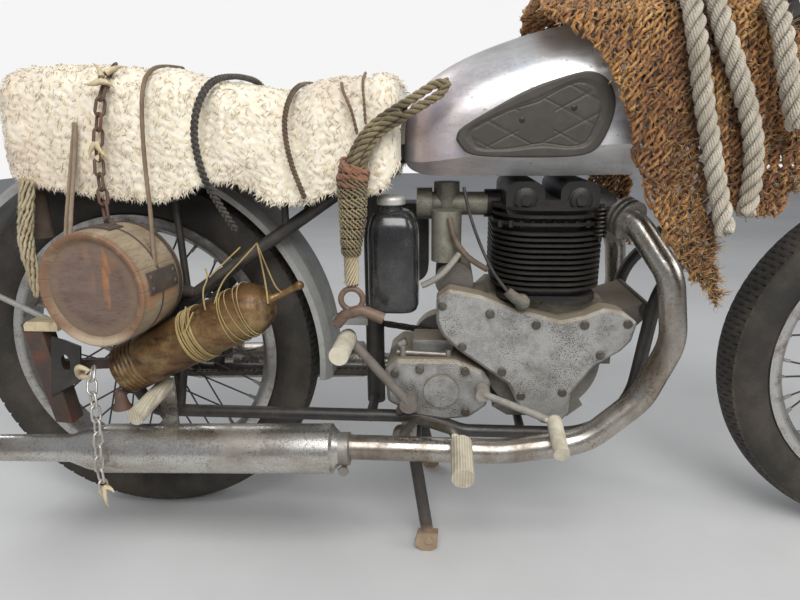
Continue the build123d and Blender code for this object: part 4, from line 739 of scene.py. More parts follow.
outer = [(-104, 392), (-80, 385), (-55, 375), (-60, 343), (-66, 311), (-95, 296), (-123, 281), (-114, 336)]
middle = Vector((-86, 345))
rim = []
for index in range(32):
    share = index / 4
    here, there = Vector(outer[int(share) % 8]), Vector(outer[(int(share) + 1) % 8])
    rim.append(here.lerp(there, share - int(share)))
points, faces = [], []
for y in (-131.5, -135.5):
    points += from_axle([(point.x, y, point.y) for point in rim])
    points += from_axle([(middle.x + 8 * math.cos(math.atan2(point.y - middle.y, point.x - middle.x)), y,
                          middle.y + 15 * math.sin(math.atan2(point.y - middle.y, point.x - middle.x)))
                         for point in rim])
for index in range(32):
    after = (index + 1) % 32
    faces += [(index, after, 32 + after, 32 + index), (64 + after, 64 + index, 96 + index, 96 + after),
              (index, 64 + index, 64 + after, after), (32 + after, 96 + after, 96 + index, 32 + index)]
form.add(points, faces)
form.done("slotted_plate", enamel, slot="rusty_iron", smooth=False)
form = Form()
cap = from_axle([(-152, -99, 401), (-92, -99, 401), (-92, -133, 401), (-152, -133, 401)])
form.slab(cap, (0, 0, 1), 0.016, 0.005)
form.done("bone_cap", bone, slot="bone_rubber", bend=60)
form = Form()
for points, radius in (([(-22, -196, 352), (-16, -212, 368), (-4, -218, 374), (8, -217, 366)], 0.0075),
                       ([(-18, -200, 350), (-4, -214, 356), (8, -218, 354)], 0.0065)):
    line = laid(points, 0.003)
    form.tube(line, [radius * (1 - 0.65 * index / len(line)) for index in range(len(line))], 10)
form.done("bone_claw", bone, slot="bone_rubber", bend=60)
form = Form()
form.lathe([(0, 0.002), (0.002, 0.006), (0.006, 0.009), (0.018, 0.010), (0.026, 0.012), (0.031, 0.015), (0.033, 0.0155),
            (0.033, 0.013), (0.024, 0.010), (0.008, 0.006)], *from_axle([(36, -188, 322), (36, -188, 290)]), 24)
form.tube(laid([(36, -188, 322), (37, -188, 330), (40, -184, 336)], 0.002), 0.0016, 6)
form.done("small_bell", rusty_iron, slot="rusty_iron", bend=50)

# Wheels: steel rims with worn bright plate, dark spokes; the cad carries their form.
# One finish goes by the distance from the axle, so that the rim alone is bright; nipples are added.
FRONT = REAR + 1.391
FRONT_AXLE_Z = 0.326
WHEELS = ("rear", REAR, AXLE_Z), ("front", FRONT, FRONT_AXLE_Z)
SPOKES, SPOKE_LEAN = 18, 42  # on one side of a hub, and their slant in degrees
HUB_CIRCLE, RIM_CIRCLE = 0.052, 0.2262


def wheel_finish(name, axle_x, axle_z):
    finish = Finish(name)
    radius = finish.axle_distance(axle_x, axle_z)
    rim = radius.between(0.219, 0.2215)
    fine = finish.noise(300, 4, 0.7)
    rust = finish.noise(28, 5, 0.7).between(0.5, 0.68)
    well_shade = 1 - radius.between(0.238, 0.243)
    bright = finish.mix(rust * 0.75, (0.56, 0.55, 0.53), (0.16, 0.10, 0.065))
    # The rim's well inside the flange is painted darker as shade, more so where rust lies.
    bright = finish.mix(well_shade * (rust * 0.4 + 0.45), bright, (0.13, 0.105, 0.08))
    bright = finish.mix(fine.between(0.55, 0.7) * 0.6, bright, (0.15, 0.11, 0.08))
    dark = finish.mix(rust, (0.05, 0.045, 0.04), (0.10, 0.075, 0.055))
    colour = finish.mix(rim, dark, bright)
    return finish.end(colour, 0.34 + rust * 0.3 + fine * 0.12, fine, 0.3, 0.0005, rim * (0.9 - rust * 0.5) + 0.1)


for end, axle_x, axle_z in WHEELS:
    dress(wheel_finish(end + "_rim_steel", axle_x, axle_z), end + "_wheel")
    form = Form()
    for side in (-1, 1):
        for count in range(SPOKES):
            at_rim = math.radians(360 / SPOKES * (count + side / 4 + 0.25))
            at_hub = at_rim + math.radians(SPOKE_LEAN if count % 2 else -SPOKE_LEAN)
            foot, tip = (Vector((axle_x + circle * math.cos(turn), side * y, axle_z + circle * math.sin(turn)))
                         for circle, turn, y in ((HUB_CIRCLE, at_hub, 0.031), (RIM_CIRCLE, at_rim, 0.0063)))
            form.lathe([(0, 0.0042), (0.004, 0.0042), (0.005, 0.0032), (0.016, 0.0030), (0.017, 0.0019)], tip,
                       foot, 8)
    form.done(end + "_nipples", dull_steel, end + "_wheel", slot="wheel_steel")

# Tyres: block tread at the crown and plain sidewalls, all under brown dust.
# Each is turned from its section, with the tread cut as grooves between the blocks.


def tyre_finish(name, axle_x, axle_z, outer):
    finish = Finish(name)
    radius = finish.axle_distance(axle_x, axle_z)
    broad = finish.noise(14, 6, 0.65)
    fine = finish.noise(240, 4, 0.7)
    dust = broad.between(0.42, 0.72) * 0.6 + fine.between(0.5, 0.8) * 0.3
    colour = finish.mix(dust, (0.024, 0.021, 0.018), (0.10, 0.08, 0.058))
    worn_crown = radius.between(outer - 0.006, outer)
    colour = finish.mix(worn_crown * 0.5, colour, (0.05, 0.045, 0.04))
    return finish.end(colour, 0.72 + dust * 0.2, fine, 0.4, 0.0007)


GROOVE = 0.0035


def tyre(end, axle_x, axle_z, outer, width, blocks):
    """A tyre turned from its section; every block is eight steps long, one of them a groove."""
    half = width / 2
    section = [(-0.0268, 0.2405), (-0.0268, 0.2545), (-0.036, 0.262), (-half + 0.002, 0.276), (-half + 0.0005, 0.290),
               (-half + 0.003, outer - 0.022), (-half + 0.010, outer - 0.012)]
    crown = [-0.78, -0.66, -0.64, -0.40, -0.38, -0.14, -0.12, 0.12, 0.14, 0.38, 0.40, 0.64, 0.66, 0.78]
    profile = [(y, radius, -1) for y, radius in section]
    for index, share in enumerate(crown):
        profile.append((share * half, outer - 0.0125 * abs(share) ** 2.2, (index + 1) // 2))
    profile += [(-y, radius, -1) for y, radius in reversed(section)]
    steps = blocks * 8
    points, faces = [], []
    for step in range(steps):
        turn = math.tau * step / steps
        for y, radius, row in profile:
            if row >= 0 and (step + row * 4) % 8 == 0:
                radius -= GROOVE
            points.append((axle_x + radius * math.cos(turn), y, axle_z + radius * math.sin(turn)))
    count = len(profile)
    for step in range(steps):
        there = (step + 1) % steps
        for index in range(count):
            after = (index + 1) % count
            faces.append((step * count + index, there * count + index, there * count + after, step * count + after))
    form = Form()
    form.add(points, faces)
    form.done(end + "_tread", tyre_finish(end + "_tyre_rubber", axle_x, axle_z, outer), end + "_wheel",
              replaces=[end + "_tyre"], slot="tyre", bend=35)


tyre("rear", REAR, AXLE_Z, 0.328, 0.093, 84)
tyre("front", FRONT, FRONT_AXLE_Z, 0.326, 0.086, 90)

# Drive chain: plates and rollers round both sprockets, oiled and dusty.
# It is laid link by link along the two arcs and the straights between them.
CHAIN_Y, CHAIN_PITCH, PLATE_RADIUS = 0.072, 0.0127, 0.0055
(x1, z1, r1), (x2, z2, r2) = (REAR, AXLE_Z, 0.0915), (REAR + 0.545, 0.300, 0.0405)
slope = math.atan2(z2 - z1, x2 - x1)
wrap = math.acos((r1 - r2) / math.hypot(x2 - x1, z2 - z1))
loop = []
for x, z, radius, first, sweep, steps in ((x1, z1, r1, slope + wrap, math.tau - 2 * wrap, 48),
                                          (x2, z2, r2, slope - wrap, 2 * wrap, 24)):
    for step in range(steps + 1):
        turn = first + sweep * step / steps
        loop.append(Vector((x + radius * math.cos(turn), CHAIN_Y, z + radius * math.sin(turn))))
loop.append(loop[0].copy())
pins = spread(loop, CHAIN_PITCH)[:-1]
form = Form()
for index, pin in enumerate(pins):
    there = pins[(index + 1) % len(pins)]
    run = (there - pin).normalized()
    upwards = run.cross(Vector((0, 1, 0)))
    form.lathe([(-0.0045, 0.0042), (0.0045, 0.0042)], pin, pin + Vector((0, 1, 0)), 8)
    out = 0.0050 if index % 2 else 0.0036
    for side in (-1, 1):
        plate = []
        for end, centre in ((1, there), (-1, pin)):
            for turn in (-60, -20, 20, 60):
                angle = math.radians(turn + (0 if end > 0 else 180))
                plate.append(centre + run * math.cos(angle) * PLATE_RADIUS + upwards * math.sin(angle) * PLATE_RADIUS
                             + Vector((0, side * out, 0)))
        form.slab(plate, (0, side, 0), 0.0010)
form.done("drive_chain_links", worn("oiled_chain", (0.09, 0.08, 0.07), (0.05, 0.04, 0.03), (0.14, 0.09, 0.05), 60, 0.6,
                                    0.5, 0.6, (0.4, 0.6), 0.4, 0.0005), replaces=["drive_chain"], slot="oiled_chain",
          smooth=False)

# Tank: bare steel under clear rust film, burnished along its length, pink from heat at the rear and blue in patches.
# Dark specks of rust break the metal everywhere.
finish = Finish("bare_tank_steel", Coat_Weight=0.15, Coat_Roughness=0.25)
streak = finish.noise(9, 5, 0.6, stretch=(0.35, 1.0, 1.6))
scratch = finish.noise(160, 3, 0.7, stretch=(0.12, 1.0, 1.0))
spot = finish.noise(140, 5, 0.75)
colour = finish.node("ShaderNodeValToRGB", {"stops": [
    (0.30, (0.50, 0.49, 0.50)), (0.42, (0.68, 0.68, 0.69)), (0.52, (0.82, 0.82, 0.82)), (0.62, (0.72, 0.71, 0.69)),
    (0.75, (0.52, 0.45, 0.41))]}, {0: streak})
tint = finish.noise(6, 3, 0.5, stretch=(1.0, 1.0, 1.3))
rear_glow = (1 - finish.axis("X").between(REAR + 0.52, REAR + 0.66)) * tint.between(0.35, 0.6)
colour = finish.mix(rear_glow * 0.6, colour, (0.46, 0.27, 0.27))
colour = finish.mix(tint.between(0.60, 0.68) * 0.25, colour, (0.33, 0.36, 0.55))
colour = finish.mix(spot.between(0.6, 0.68) * 0.7, colour, (0.12, 0.09, 0.08))
finish.end(colour, 0.27 + scratch * 0.22 + spot.between(0.5, 0.7) * 0.2, scratch * 0.5 + spot, 0.3, 0.0005,
           0.74 - spot.between(0.6, 0.68) * 0.4)
dress(finish.material, "tank")

# Knee pads: moulded rubber with a raised smooth rim and a field of fine crossing grooves.
# Each is held by two countersunk screws; the middle of the field is plain.
PAD = [(578, 712), (586, 698), (600, 689), (640, 686), (700, 685), (757, 686), (783, 694), (795, 714), (803, 738),
       (806, 756), (804, 774), (792, 795), (775, 804), (758, 806), (720, 796), (682, 783), (636, 759), (592, 734),
       (580, 724)]
pad_outline = spline_line([(x, 0, z) for x, z in PAD + PAD[:2]])
pad_outline = spread(pad_outline[: -round(len(pad_outline) / len(PAD))] + [pad_outline[0]], 3.0)[:-1]
pad_middle = Vector((705, 0, 738))
FIELD_X, FIELD_Z, DIAMOND = 694, 738, 36.0  # the middle of the grooved field and the grooves' spacing
sides = len(pad_outline)
rings = 56


def pad_height(place, inward):
    """How far the rubber stands at a place: a rounded rim, a border line and the diamond field's grooves."""
    rise = 4.0 * min(1.0, inward / 3.0) ** 0.5
    if inward > 12:
        rise -= 1.3 * min(1.0, (inward - 12) / 2.5)
    if inward > 19:
        for slant in (0.52, -0.52):
            off = (place.z - FIELD_Z - slant * (place.x - FIELD_X)) / DIAMOND
            near = abs(off - round(off)) * DIAMOND
            middle = abs(place.x - FIELD_X) < 26 and abs(place.z - FIELD_Z) < 14
            if near < 1.5 and not middle:
                rise -= 1.1 * (1 - (near / 1.5) ** 2)
    if 17.2 < inward < 19.4:
        rise -= 0.9
    return rise


form = Form()
for mirror in (1, -1):
    points = []
    for ring in range(rings + 1):
        share = 1 - (ring / rings) ** 1.15
        for corner in pad_outline:
            place = pad_middle.lerp(corner, share)
            inward = (corner - place).length * 0.86
            tall = pad_height(place, inward) if ring else -26
            if ring == 1:
                tall = 0.5
            points.append(((REAR * 1000 + place.x) / 1000, -mirror * (0.1358 + tall / 1000), place.z / 1000))
    faces = []
    for ring in range(rings):
        for side in range(sides):
            after = (side + 1) % sides
            face = (ring * sides + side, ring * sides + after, (ring + 1) * sides + after, (ring + 1) * sides + side)
            faces.append(face if mirror < 0 else tuple(reversed(face)))
    form.add(points, faces)
form.done("knee_pad_rubbers", old_rubber, replaces=["knee_pads"], slot="aged_rubber", bend=60)
form = Form()
for x, z in ((673, 739), (746, 755)):
    for side in (-1, 1):
        at = at_mm(x, side * 138.4, z)
        form.lathe([(-0.004, 0.0042), (0.0006, 0.0042), (0.0011, 0.0030)], at, at + Vector((0, side, 0)), 16)
form.done("knee_pad_screws", black_iron, slot="aged_rubber")

# Engine dressing: rocker caps, clutch lever, cable boot, and the hoses and cable that hang behind the barrel.
# The hoses are tan rubber and clouded plastic; the cable runs in a black sheath.
form = Form()
for x in (689, 773):
    at = at_mm(x, -98.5, 620)
    form.lathe([(0, 0.0185), (0.004, 0.0185), (0.005, 0.016), (0.009, 0.016), (0.010, 0.014)], at,
               at + Vector((0, -1, 0)), 32)
    form.lathe([(0.010, 0.009), (0.016, 0.009)], at, at + Vector((0, -1, 0)), 6)
for x in range(650, 820, 17):
    at = from_axle([(x, -106, 578), (x, -106, 592)])
    form.lathe([(0, 0.0042), (0.010, 0.0042)], at[0], at[1], 6)
form.done("rocker_caps", black_iron, slot="black_iron")
form = Form()
form.tube(from_axle([(484, -92, 360), (576, -92, 356)]), 0.0045, 12)
form.tube(from_axle([(494, -92, 340), (494, -92, 374)]), 0.0065, 12)
form.tube(from_axle([(488, -92, 374), (500, -92, 380)]), 0.0075, 12)
form.tube(from_axle([(572, -92, 344), (572, -92, 366)]), 0.0060, 12)
form.done("clutch_lever", dull_steel, slot="dull_steel")
form = Form()
line = laid([(664, -124, 478), (676, -125, 466), (694, -122, 456)], 0.003)
form.tube(line, [0.0075 + 0.004 * index / len(line) for index in range(len(line))], 14)
form.lathe([(0, 0.0125), (0.012, 0.0125), (0.014, 0.010)], *from_axle([(688, -112, 459), (688, -128, 459)]), 20)
form.done("cable_boot", grimy_alloy, slot="pitted_alloy")
tan_rubber = worn("tan_hose", (0.17, 0.125, 0.085), (0.10, 0.07, 0.05), (0.05, 0.035, 0.025), 60, 0.6, 0.5, 0.0,
                  (0.5, 0.7))
clear_pipe = worn("clouded_pipe", (0.33, 0.315, 0.27), (0.22, 0.20, 0.16), (0.11, 0.09, 0.065), 60, 0.6, 0.5, 0.0,
                  (0.15, 0.35), Coat_Weight=0.4)
black_sheath = worn("cable_sheath", (0.03, 0.028, 0.026), (0.07, 0.06, 0.05), (0.12, 0.10, 0.08), 60, 0.5, 0.5, 0.0,
                    (0.4, 0.6))
for name, route, radius, finish in (
        ("fuel_hose", [(571, -90, 590), (576, -93, 562), (590, -92, 538), (608, -88, 519), (634, -80, 503)],
         0.0048, tan_rubber),
        ("breather_pipe", [(588, -90, 532), (570, -94, 508), (549, -95, 488), (527, -93, 478)], 0.0052, clear_pipe),
        ("engine_cable", [(592, -104, 640), (598, -110, 612), (608, -115, 580), (622, -119, 545), (638, -122, 512),
                          (654, -124, 490), (668, -125, 473)], 0.0026, black_sheath)):
    form = Form()
    form.tube(laid(route), radius, 12)
    cord(form, name, route, 2 * radius, finish, "aged_rubber")

# Fleece: a whole sheepskin thrown over the pan and tied down, curly side out.
# Its skin is one padded shape drawn in under each lashing, and the wool is locks set all over it.
TOP = [(-136, 790), (-122, 818), (-93, 826), (26, 829), (103, 822), (142, 817), (205, 808), (231, 797), (297, 791),
       (318, 788), (336, 796), (392, 803), (427, 807), (479, 813), (494, 800)]
HEM = [(-136, 668), (-120, 662), (-86, 650), (-48, 643), (6, 634), (68, 627), (124, 624), (171, 640), (186, 650),
       (227, 651), (263, 642), (279, 628), (302, 618), (352, 621), (393, 635), (440, 630), (473, 642), (492, 668)]
LACES = [(42, 6, 14), (108, 8, 16), (192, 16, 22), (331, 14, 24), (418, 7, 10), (444, 7, 10)]
FLEECE_REAR, FLEECE_FRONT, HALF_WIDTH, SHOULDER = -136, 494, 133.0, 50.0


def level_at(along, outline):
    """The second value of an outline's pairs where the first is along."""
    return float(np.interp(along, *zip(*outline)))


def wool(name):
    finish = Finish(name, rough=0.92, Sheen_Weight=0.4, Sheen_Roughness=0.5)
    broad = finish.noise(7, 4, 0.6)
    lock = finish.noise(95, 2, 0.5)
    colour = finish.mix(lock.between(0.36, 0.62), (0.87, 0.81, 0.68), (0.79, 0.70, 0.53))
    colour = finish.mix(broad.between(0.50, 0.66) * 0.6, colour, (0.60, 0.50, 0.40))
    rear = (1 - finish.axis("X").between(REAR - 0.13, REAR + 0.14)) * broad.between(0.36, 0.56)
    colour = finish.mix(rear * 0.55, colour, (0.55, 0.41, 0.29))
    # The hollows between the curls are darkened: painted shade.
    colour = finish.mix(finish.hollows(0.007) * 0.4, colour, (0.60, 0.47, 0.30))
    fine = finish.noise(600, 3, 0.7)
    return finish.end(colour, height=fine, strength=0.5, depth=0.0010)


def pinch(along):
    return sum(depth * math.exp(-((along - place) / width) ** 2) for place, depth, width in LACES)


def fleece_skin(along, share):
    """A point of the skin and its outward direction: share runs -1 to 1 from hem over the top to hem."""
    top, hem = level_at(along, TOP), level_at(along, HEM)
    half, shoulder = HALF_WIDTH, SHOULDER
    flat, arc, drop = half - shoulder, shoulder * math.pi / 2, top - shoulder - hem
    place = abs(share) * (flat + arc + drop)
    if place < flat:
        y, z, normal = place, top - 3 * (place / flat) ** 2, (0, 1)
    elif place < flat + arc:
        turn = (place - flat) / shoulder
        y, z, normal = flat + shoulder * math.sin(turn), top - 3 - (shoulder - 3) * (1 - math.cos(turn)), (
            math.sin(turn), math.cos(turn))
    else:
        low = (place - flat - arc) / drop
        y, z, normal = half + 5 * math.sin(low * 2.6), top - shoulder - (place - flat - arc), (1, 0.0)
    sign = 1 if share > 0 else -1
    out = Vector((0, sign * normal[0], normal[1]))
    puff = 2.2 * math.sin(along * 0.047 + 1.3) * math.sin(share * 5.1 + along * 0.02) - pinch(along) * min(
        1, 4 * (1 - abs(share)) + 0.3)
    end = min(1.0, (max(along - FLEECE_REAR, 0) / 26) ** 0.5, (max(FLEECE_FRONT - along, 0) / 26) ** 0.5)
    middle = Vector((0, 0, 730))
    spot = Vector((0, sign * y, z)) + out * puff
    spot = middle.lerp(spot, 0.80 + 0.20 * end)
    return Vector((REAR + along / 1000, spot.y / 1000, spot.z / 1000)), out


def skin_rows(form, places, shares, height):
    """A grid of skin points, each raised by the height at it; the first and last rows turn under."""
    points = []
    for i, along in enumerate(places):
        tuck = 0.008 * ((i < 2) * (2 - i) + (i > len(places) - 3) * (i - len(places) + 3))
        for j, share in enumerate(shares):
            place, normal = fleece_skin(along, max(-1.0, min(1.0, share)))
            place += normal * height(place)
            past = max(0.0, abs(share) - 1)
            place += Vector((0, -math.copysign(past, share) * 0.30, past * 0.12))
            points.append(place + Vector((0, -math.copysign(tuck, place.y), -tuck * (place.z > 0.73))))
    wide = len(shares)
    form.add(points, [(i * wide + j, i * wide + j + 1, (i + 1) * wide + j + 1, (i + 1) * wide + j)
                      for i in range(len(places) - 1) for j in range(wide - 1)])


def curls(place):
    """Tufts of wool: small domes, flatter than they are long, over a slow swell."""
    bend = noise.noise_vector(place * 60) * 0.8
    near = noise.voronoi(Vector((place.x * 92, place.y * 92, place.z * 150)) + bend)[0]
    swell = noise.noise(place * 22)
    return 0.0028 + 0.0052 * (0.55 - near[0]) + 0.0016 * swell + 0.0008 * noise.noise(place * 460)


wool_finish = wool("curly_wool")
form = Form()
lengthways, around = 60, 48
points, inner = [], []
for i in range(lengthways + 1):
    along = -133 + 624 * i / lengthways
    for j in range(around + 1):
        place, normal = fleece_skin(along, -1 + 2 * j / around)
        points.append(place - normal * 0.002)
        inner.append(Vector((place.x, place.y * 0.92, place.z - 0.012 * max(0.0, 1 - abs(place.y) / 0.125))))
across_count = around + 1
faces = []
for i in range(lengthways):
    for j in range(around):
        a = i * across_count + j
        faces.append((a, a + across_count, a + across_count + 1, a + 1))
shift = len(points)
faces += [tuple(reversed([corner + shift for corner in face])) for face in faces]
edge = ([j for j in range(across_count)] + [i * across_count + around for i in range(1, lengthways + 1)]
        + [lengthways * across_count + j for j in range(around - 1, -1, -1)]
        + [i * across_count for i in range(lengthways - 1, 0, -1)])
for here, there in zip(edge, edge[1:] + edge[:1]):
    faces.append((here, there, there + shift, here + shift))
form.add(points + inner, faces)
fleece_cover = form.done("fleece_cover", wool_finish, replaces=["fleece"], slot="wool", bend=180)
for side, name, seed in ((-1, "right", 11), (1, "left", 12)):
    form = Form()
    rows, across = (240, 112) if side < 0 else (190, 90)
    skin_rows(form, [FLEECE_REAR + (FLEECE_FRONT - FLEECE_REAR) * i / rows for i in range(rows + 1)],
              [side * 1.04 * share / across for share in range(across + 1)], curls)
    form.done("fleece_wool_" + name, wool_finish, slot="wool", bend=180)
    chance = random.Random(seed)
    form = Form()
    for index in range(3900 if side < 0 else 3000):
        along = chance.uniform(-135, 493)
        share = side * (chance.uniform(0.0, 1.0) if index % 5 else chance.uniform(0.975, 1.0))
        place, normal = fleece_skin(along, share)
        place += normal * (curls(place) - 0.0008)
        if abs(along - 179) > 300:
            normal = (normal + Vector((0.8 if along > 0 else -0.8, 0, 0))).normalized()
        comb = Vector((chance.uniform(-0.8, 0.8), side * 0.8, 0.0)) if abs(share) < 0.4 else Vector(
            (chance.uniform(-0.8, 0.8), side * 0.05, -1.0))
        comb = (comb - normal * comb.dot(normal)).normalized()
        swirl = normal.cross(comb)
        length = chance.uniform(0.007, 0.012)
        curl = chance.uniform(-0.3, 0.3) * length
        thick = chance.uniform(0.0007, 0.0012)
        form.spike([place - normal * 0.001, place + normal * length * 0.24 + comb * length * 0.35,
                    place + normal * length * 0.22 + comb * length * 0.75 + swirl * curl,
                    place + normal * length * 0.05 + comb * length * 1.1 + swirl * curl * 1.6], thick * 1.1)
    form.done("fleece_fringe_" + name, wool_finish, slot="wool", bend=180)

# Lashings over the fleece: a dark plaited cord, a beaded cord, two thin thongs and two leather straps.
# All are tied at the hem; the straps run on down to the drum.
leather = worn("old_leather", (0.16, 0.105, 0.065), (0.24, 0.17, 0.11), (0.07, 0.05, 0.035), 60, 0.6, 0.5, 0.0,
               (0.5, 0.75), 0.5, 0.0006)
pale_leather = worn("pale_leather", (0.27, 0.20, 0.135), (0.18, 0.125, 0.08), (0.10, 0.07, 0.05), 60, 0.6, 0.5, 0.0,
                    (0.55, 0.8), 0.5, 0.0006)
DARK_PLAIT = [(230, -124, 574), (214, -138, 612), (198, -150, 652), (189, -151, 692), (187, -150, 730),
              (196, -146, 768), (210, -122, 801), (224, -60, 812), (230, 10, 812), (234, 44, 808), (238, 74, 794)]
BEADED = [(350, -147, 628), (337, -151, 664), (328, -151, 700), (325, -150, 736), (330, -144, 766), (338, -116, 790),
          (342, -60, 799), (344, 0, 800), (346, 40, 796), (348, 70, 783)]
for name, route, radius, pitch, finish in (
        ("dark_plait", DARK_PLAIT, 0.0060, 0.026, dark_cord), ("beaded_cord", BEADED, 0.0044, 0.019, brown_cord)):
    line = laid(route, 0.002)
    form = Form()
    for strand in range(3):
        yarn = []
        for index, point in enumerate(line):
            run = heading(line, index)
            wide = run.cross(Vector((0, point.y, point.z - 0.72))).normalized()
            turn = math.tau * (index * 0.002 / pitch + strand / 3)
            yarn.append(point + wide * radius * 0.6 * math.sin(turn)
                        + run.cross(wide) * radius * 0.4 * math.sin(2 * turn))
        form.tube(yarn, radius * 0.42, 7)
    hairs(form, line, radius, 120, radius * 0.5, seed=7)
    cord(form, name, route, 2 * radius, finish, "rope_fibre")
for name, route, radius, finish in (
        ("thin_thong_rear", [(433, -147, 722), (428, -150, 750), (420, -148, 768), (410, -132, 788), (402, -80, 803),
                             (398, -20, 806)], 0.0026, brown_cord),
        ("thin_thong_front", [(446, -148, 736), (445, -150, 764), (443, -144, 784), (440, -120, 801),
                              (438, -70, 812)], 0.0024, brown_cord)):
    form = Form()
    for strand in twisted(laid(route), radius * 0.45, 2, 0.014, step=0.002):
        form.tube(strand, radius * 0.6, 6)
    cord(form, name, route, 2 * radius, finish, "rope_fibre")
for name, route, radius, squeeze, finish in (
        ("drum_strap_front", [(136, -216, 534), (130, -204, 566), (117, -172, 612), (107, -153, 655), (108, -150, 730),
                              (112, -142, 794), (110, -100, 822), (106, -30, 832), (102, 40, 834)], 0.0034, 0.45,
         leather),
        ("drum_strap_rear", [(-13, -193, 564), (-16, -174, 606), (-13, -158, 655), (-5, -152, 700), (4, -149, 742)],
         0.0032, 0.5, pale_leather),
        ("drum_strap_middle", [(-5, -194, 566), (-8, -176, 606), (-6, -160, 655), (0, -153, 700), (6, -150, 740)],
         0.0032, 0.5, pale_leather)):
    form = Form()
    line = laid(route, 0.004)
    chance = random.Random(len(route))
    form.tube(line, [radius * chance.uniform(0.92, 1.08) for _ in line], 10, squeeze=squeeze)
    cord(form, name, route, 2 * radius, finish, "rope_fibre")

# Drum canteen: a small stave cask on its side, its head set back in the chime.
# Iron hoop, a riveted hasp and a bail strap hold it; the head is stained where it leaked.
DRUM = at_mm(56, -195, 505)


def staves(name, pale):
    finish = Finish(name, rough=0.7)
    x, z = finish.axis("X") - DRUM.x - (finish.axis("Y") - DRUM.y) * 0.122, finish.axis("Z") - DRUM.z
    turn = x.maths("ARCTAN2", z, x)
    ring = (x * x + z * z) ** 0.5
    grain = finish.noise(30, 5, 0.6, stretch=(1.0, 0.12, 1.0) if pale else (0.25, 1.0, 1.0))
    fine = finish.noise(260, 4, 0.7, stretch=(1.0, 0.2, 1.0) if pale else (0.3, 1.0, 1.0))
    if pale:
        colour = finish.mix(grain.between(0.35, 0.65), (0.37, 0.30, 0.20), (0.21, 0.155, 0.10))
        colour = finish.mix(fine.between(0.5, 0.75) * 0.6, colour, (0.10, 0.07, 0.045))
        gap = x.maths("PINGPONG", turn * 2.7 + 9.0, 0.5)
        colour = finish.mix((1 - gap.between(0.0, 0.022)) * 0.6, colour, (0.22, 0.15, 0.10))
        stain = finish.noise(9, 4, 0.6).between(0.58, 0.68)
        colour = finish.mix(stain * 0.7, colour, (0.45, 0.17, 0.05))
        rim = 1 - (finish.axis("Y") + x * 0.122).between(-0.2475, -0.240)
        colour = finish.mix(rim * grain.between(0.25, 0.5), colour, (0.21, 0.115, 0.065))
        colour = finish.mix(rim * (1 - z.between(-0.075, -0.055)) * 0.8, colour, (0.50, 0.40, 0.28))
        height = fine + gap.between(0.0, 0.05)
    else:
        colour = finish.mix(grain.between(0.35, 0.65), (0.21, 0.145, 0.115), (0.135, 0.09, 0.07))
        halo = ring + grain * 0.01
        colour = finish.mix(fine.between(0.48, 0.72) * 0.6, colour, (0.07, 0.04, 0.028))
        colour = finish.mix(halo.between(0.058, 0.071) * 0.5, colour, (0.24, 0.165, 0.11))
        streak = finish.noise(22, 4, 0.6, stretch=(1.0, 1.0, 0.3)).between(0.52, 0.62)
        streak = streak * (1 - x.maths("ABSOLUTE", x - 0.018).between(0.010, 0.028))
        colour = finish.mix(streak * 0.9, colour, (0.48, 0.19, 0.05))
        colour = finish.mix((1 - ring.between(0.0, 0.05)) * 0.25, colour, (0.26, 0.19, 0.15))
        height = fine
    # Hollows, the head set back in its chime among them, go near black: painted shade.
    colour = finish.mix(finish.hollows(0.016) * 0.95, colour, (0.06, 0.038, 0.026))
    return finish.end(colour, 0.62 + fine * 0.2, height, 0.7, 0.0009)


drum_axis = Vector((0.122, 0.993, 0))
front = DRUM - drum_axis * 0.055
back = front + drum_axis
drum_side = Vector((0.993, -0.122, 0))
form = Form()
form.lathe([(0.0085, 0.0715), (0.0035, 0.0755), (0.0002, 0.0795), (0, 0.0835), (0.0025, 0.0862), (0.012, 0.0866),
            (0.030, 0.0876), (0.055, 0.0882), (0.080, 0.0876), (0.098, 0.0866), (0.1075, 0.0862), (0.110, 0.0835),
            (0.109, 0.0795), (0.1015, 0.0715)], front, back, 96)
form.done("drum_staves", staves("drum_staves", True), replaces=["drum"], slot="drum_wood")
form = Form()
for near, far in ((0.0078, 0.011), (0.099, 0.1022)):
    form.lathe([(near, 0.0722), (far, 0.0722)], front, back, 96)
form.done("drum_heads", staves("drum_head", False), slot="drum_wood", bend=20)
hoop = worn("hoop_iron", (0.085, 0.07, 0.06), (0.15, 0.10, 0.07), (0.16, 0.12, 0.09), 60, 0.6, 0.5, 0.3, (0.5, 0.75),
            0.5, 0.0006)
form = Form()
form.lathe([(0.046, 0.0875), (0.046, 0.0892), (0.0485, 0.0893), (0.0485, 0.0876)], front, back, 96)
form.lathe([(0.094, 0.0865), (0.094, 0.0882), (0.102, 0.0879), (0.102, 0.0862)], front, back, 96)
for start, end, near, wide in ((-4, 17, 0.016, 0.086), (74, 112, 0.030, 0.062)):
    strap, count = [], 12
    for layer in (0.0872, 0.0902):
        for step in range(count + 1):
            angle = math.radians(start + (end - start) * step / count)
            for y in (near, wide):
                strap.append(front + drum_axis * y + drum_side * layer * math.cos(angle)
                             + Vector((0, 0, layer * math.sin(angle))))
    row = 2 * (count + 1)
    faces = []
    for step in range(count):
        a = 2 * step
        faces += [(a, a + 1, a + 3, a + 2), (row + a, row + a + 2, row + a + 3, row + a + 1),
                  (a, a + 2, row + a + 2, row + a), (a + 1, row + a + 1, row + a + 3, a + 3)]
    faces += [(0, row, row + 1, 1), (row - 2, row - 1, 2 * row - 1, 2 * row - 2)]
    form.add(strap, faces)
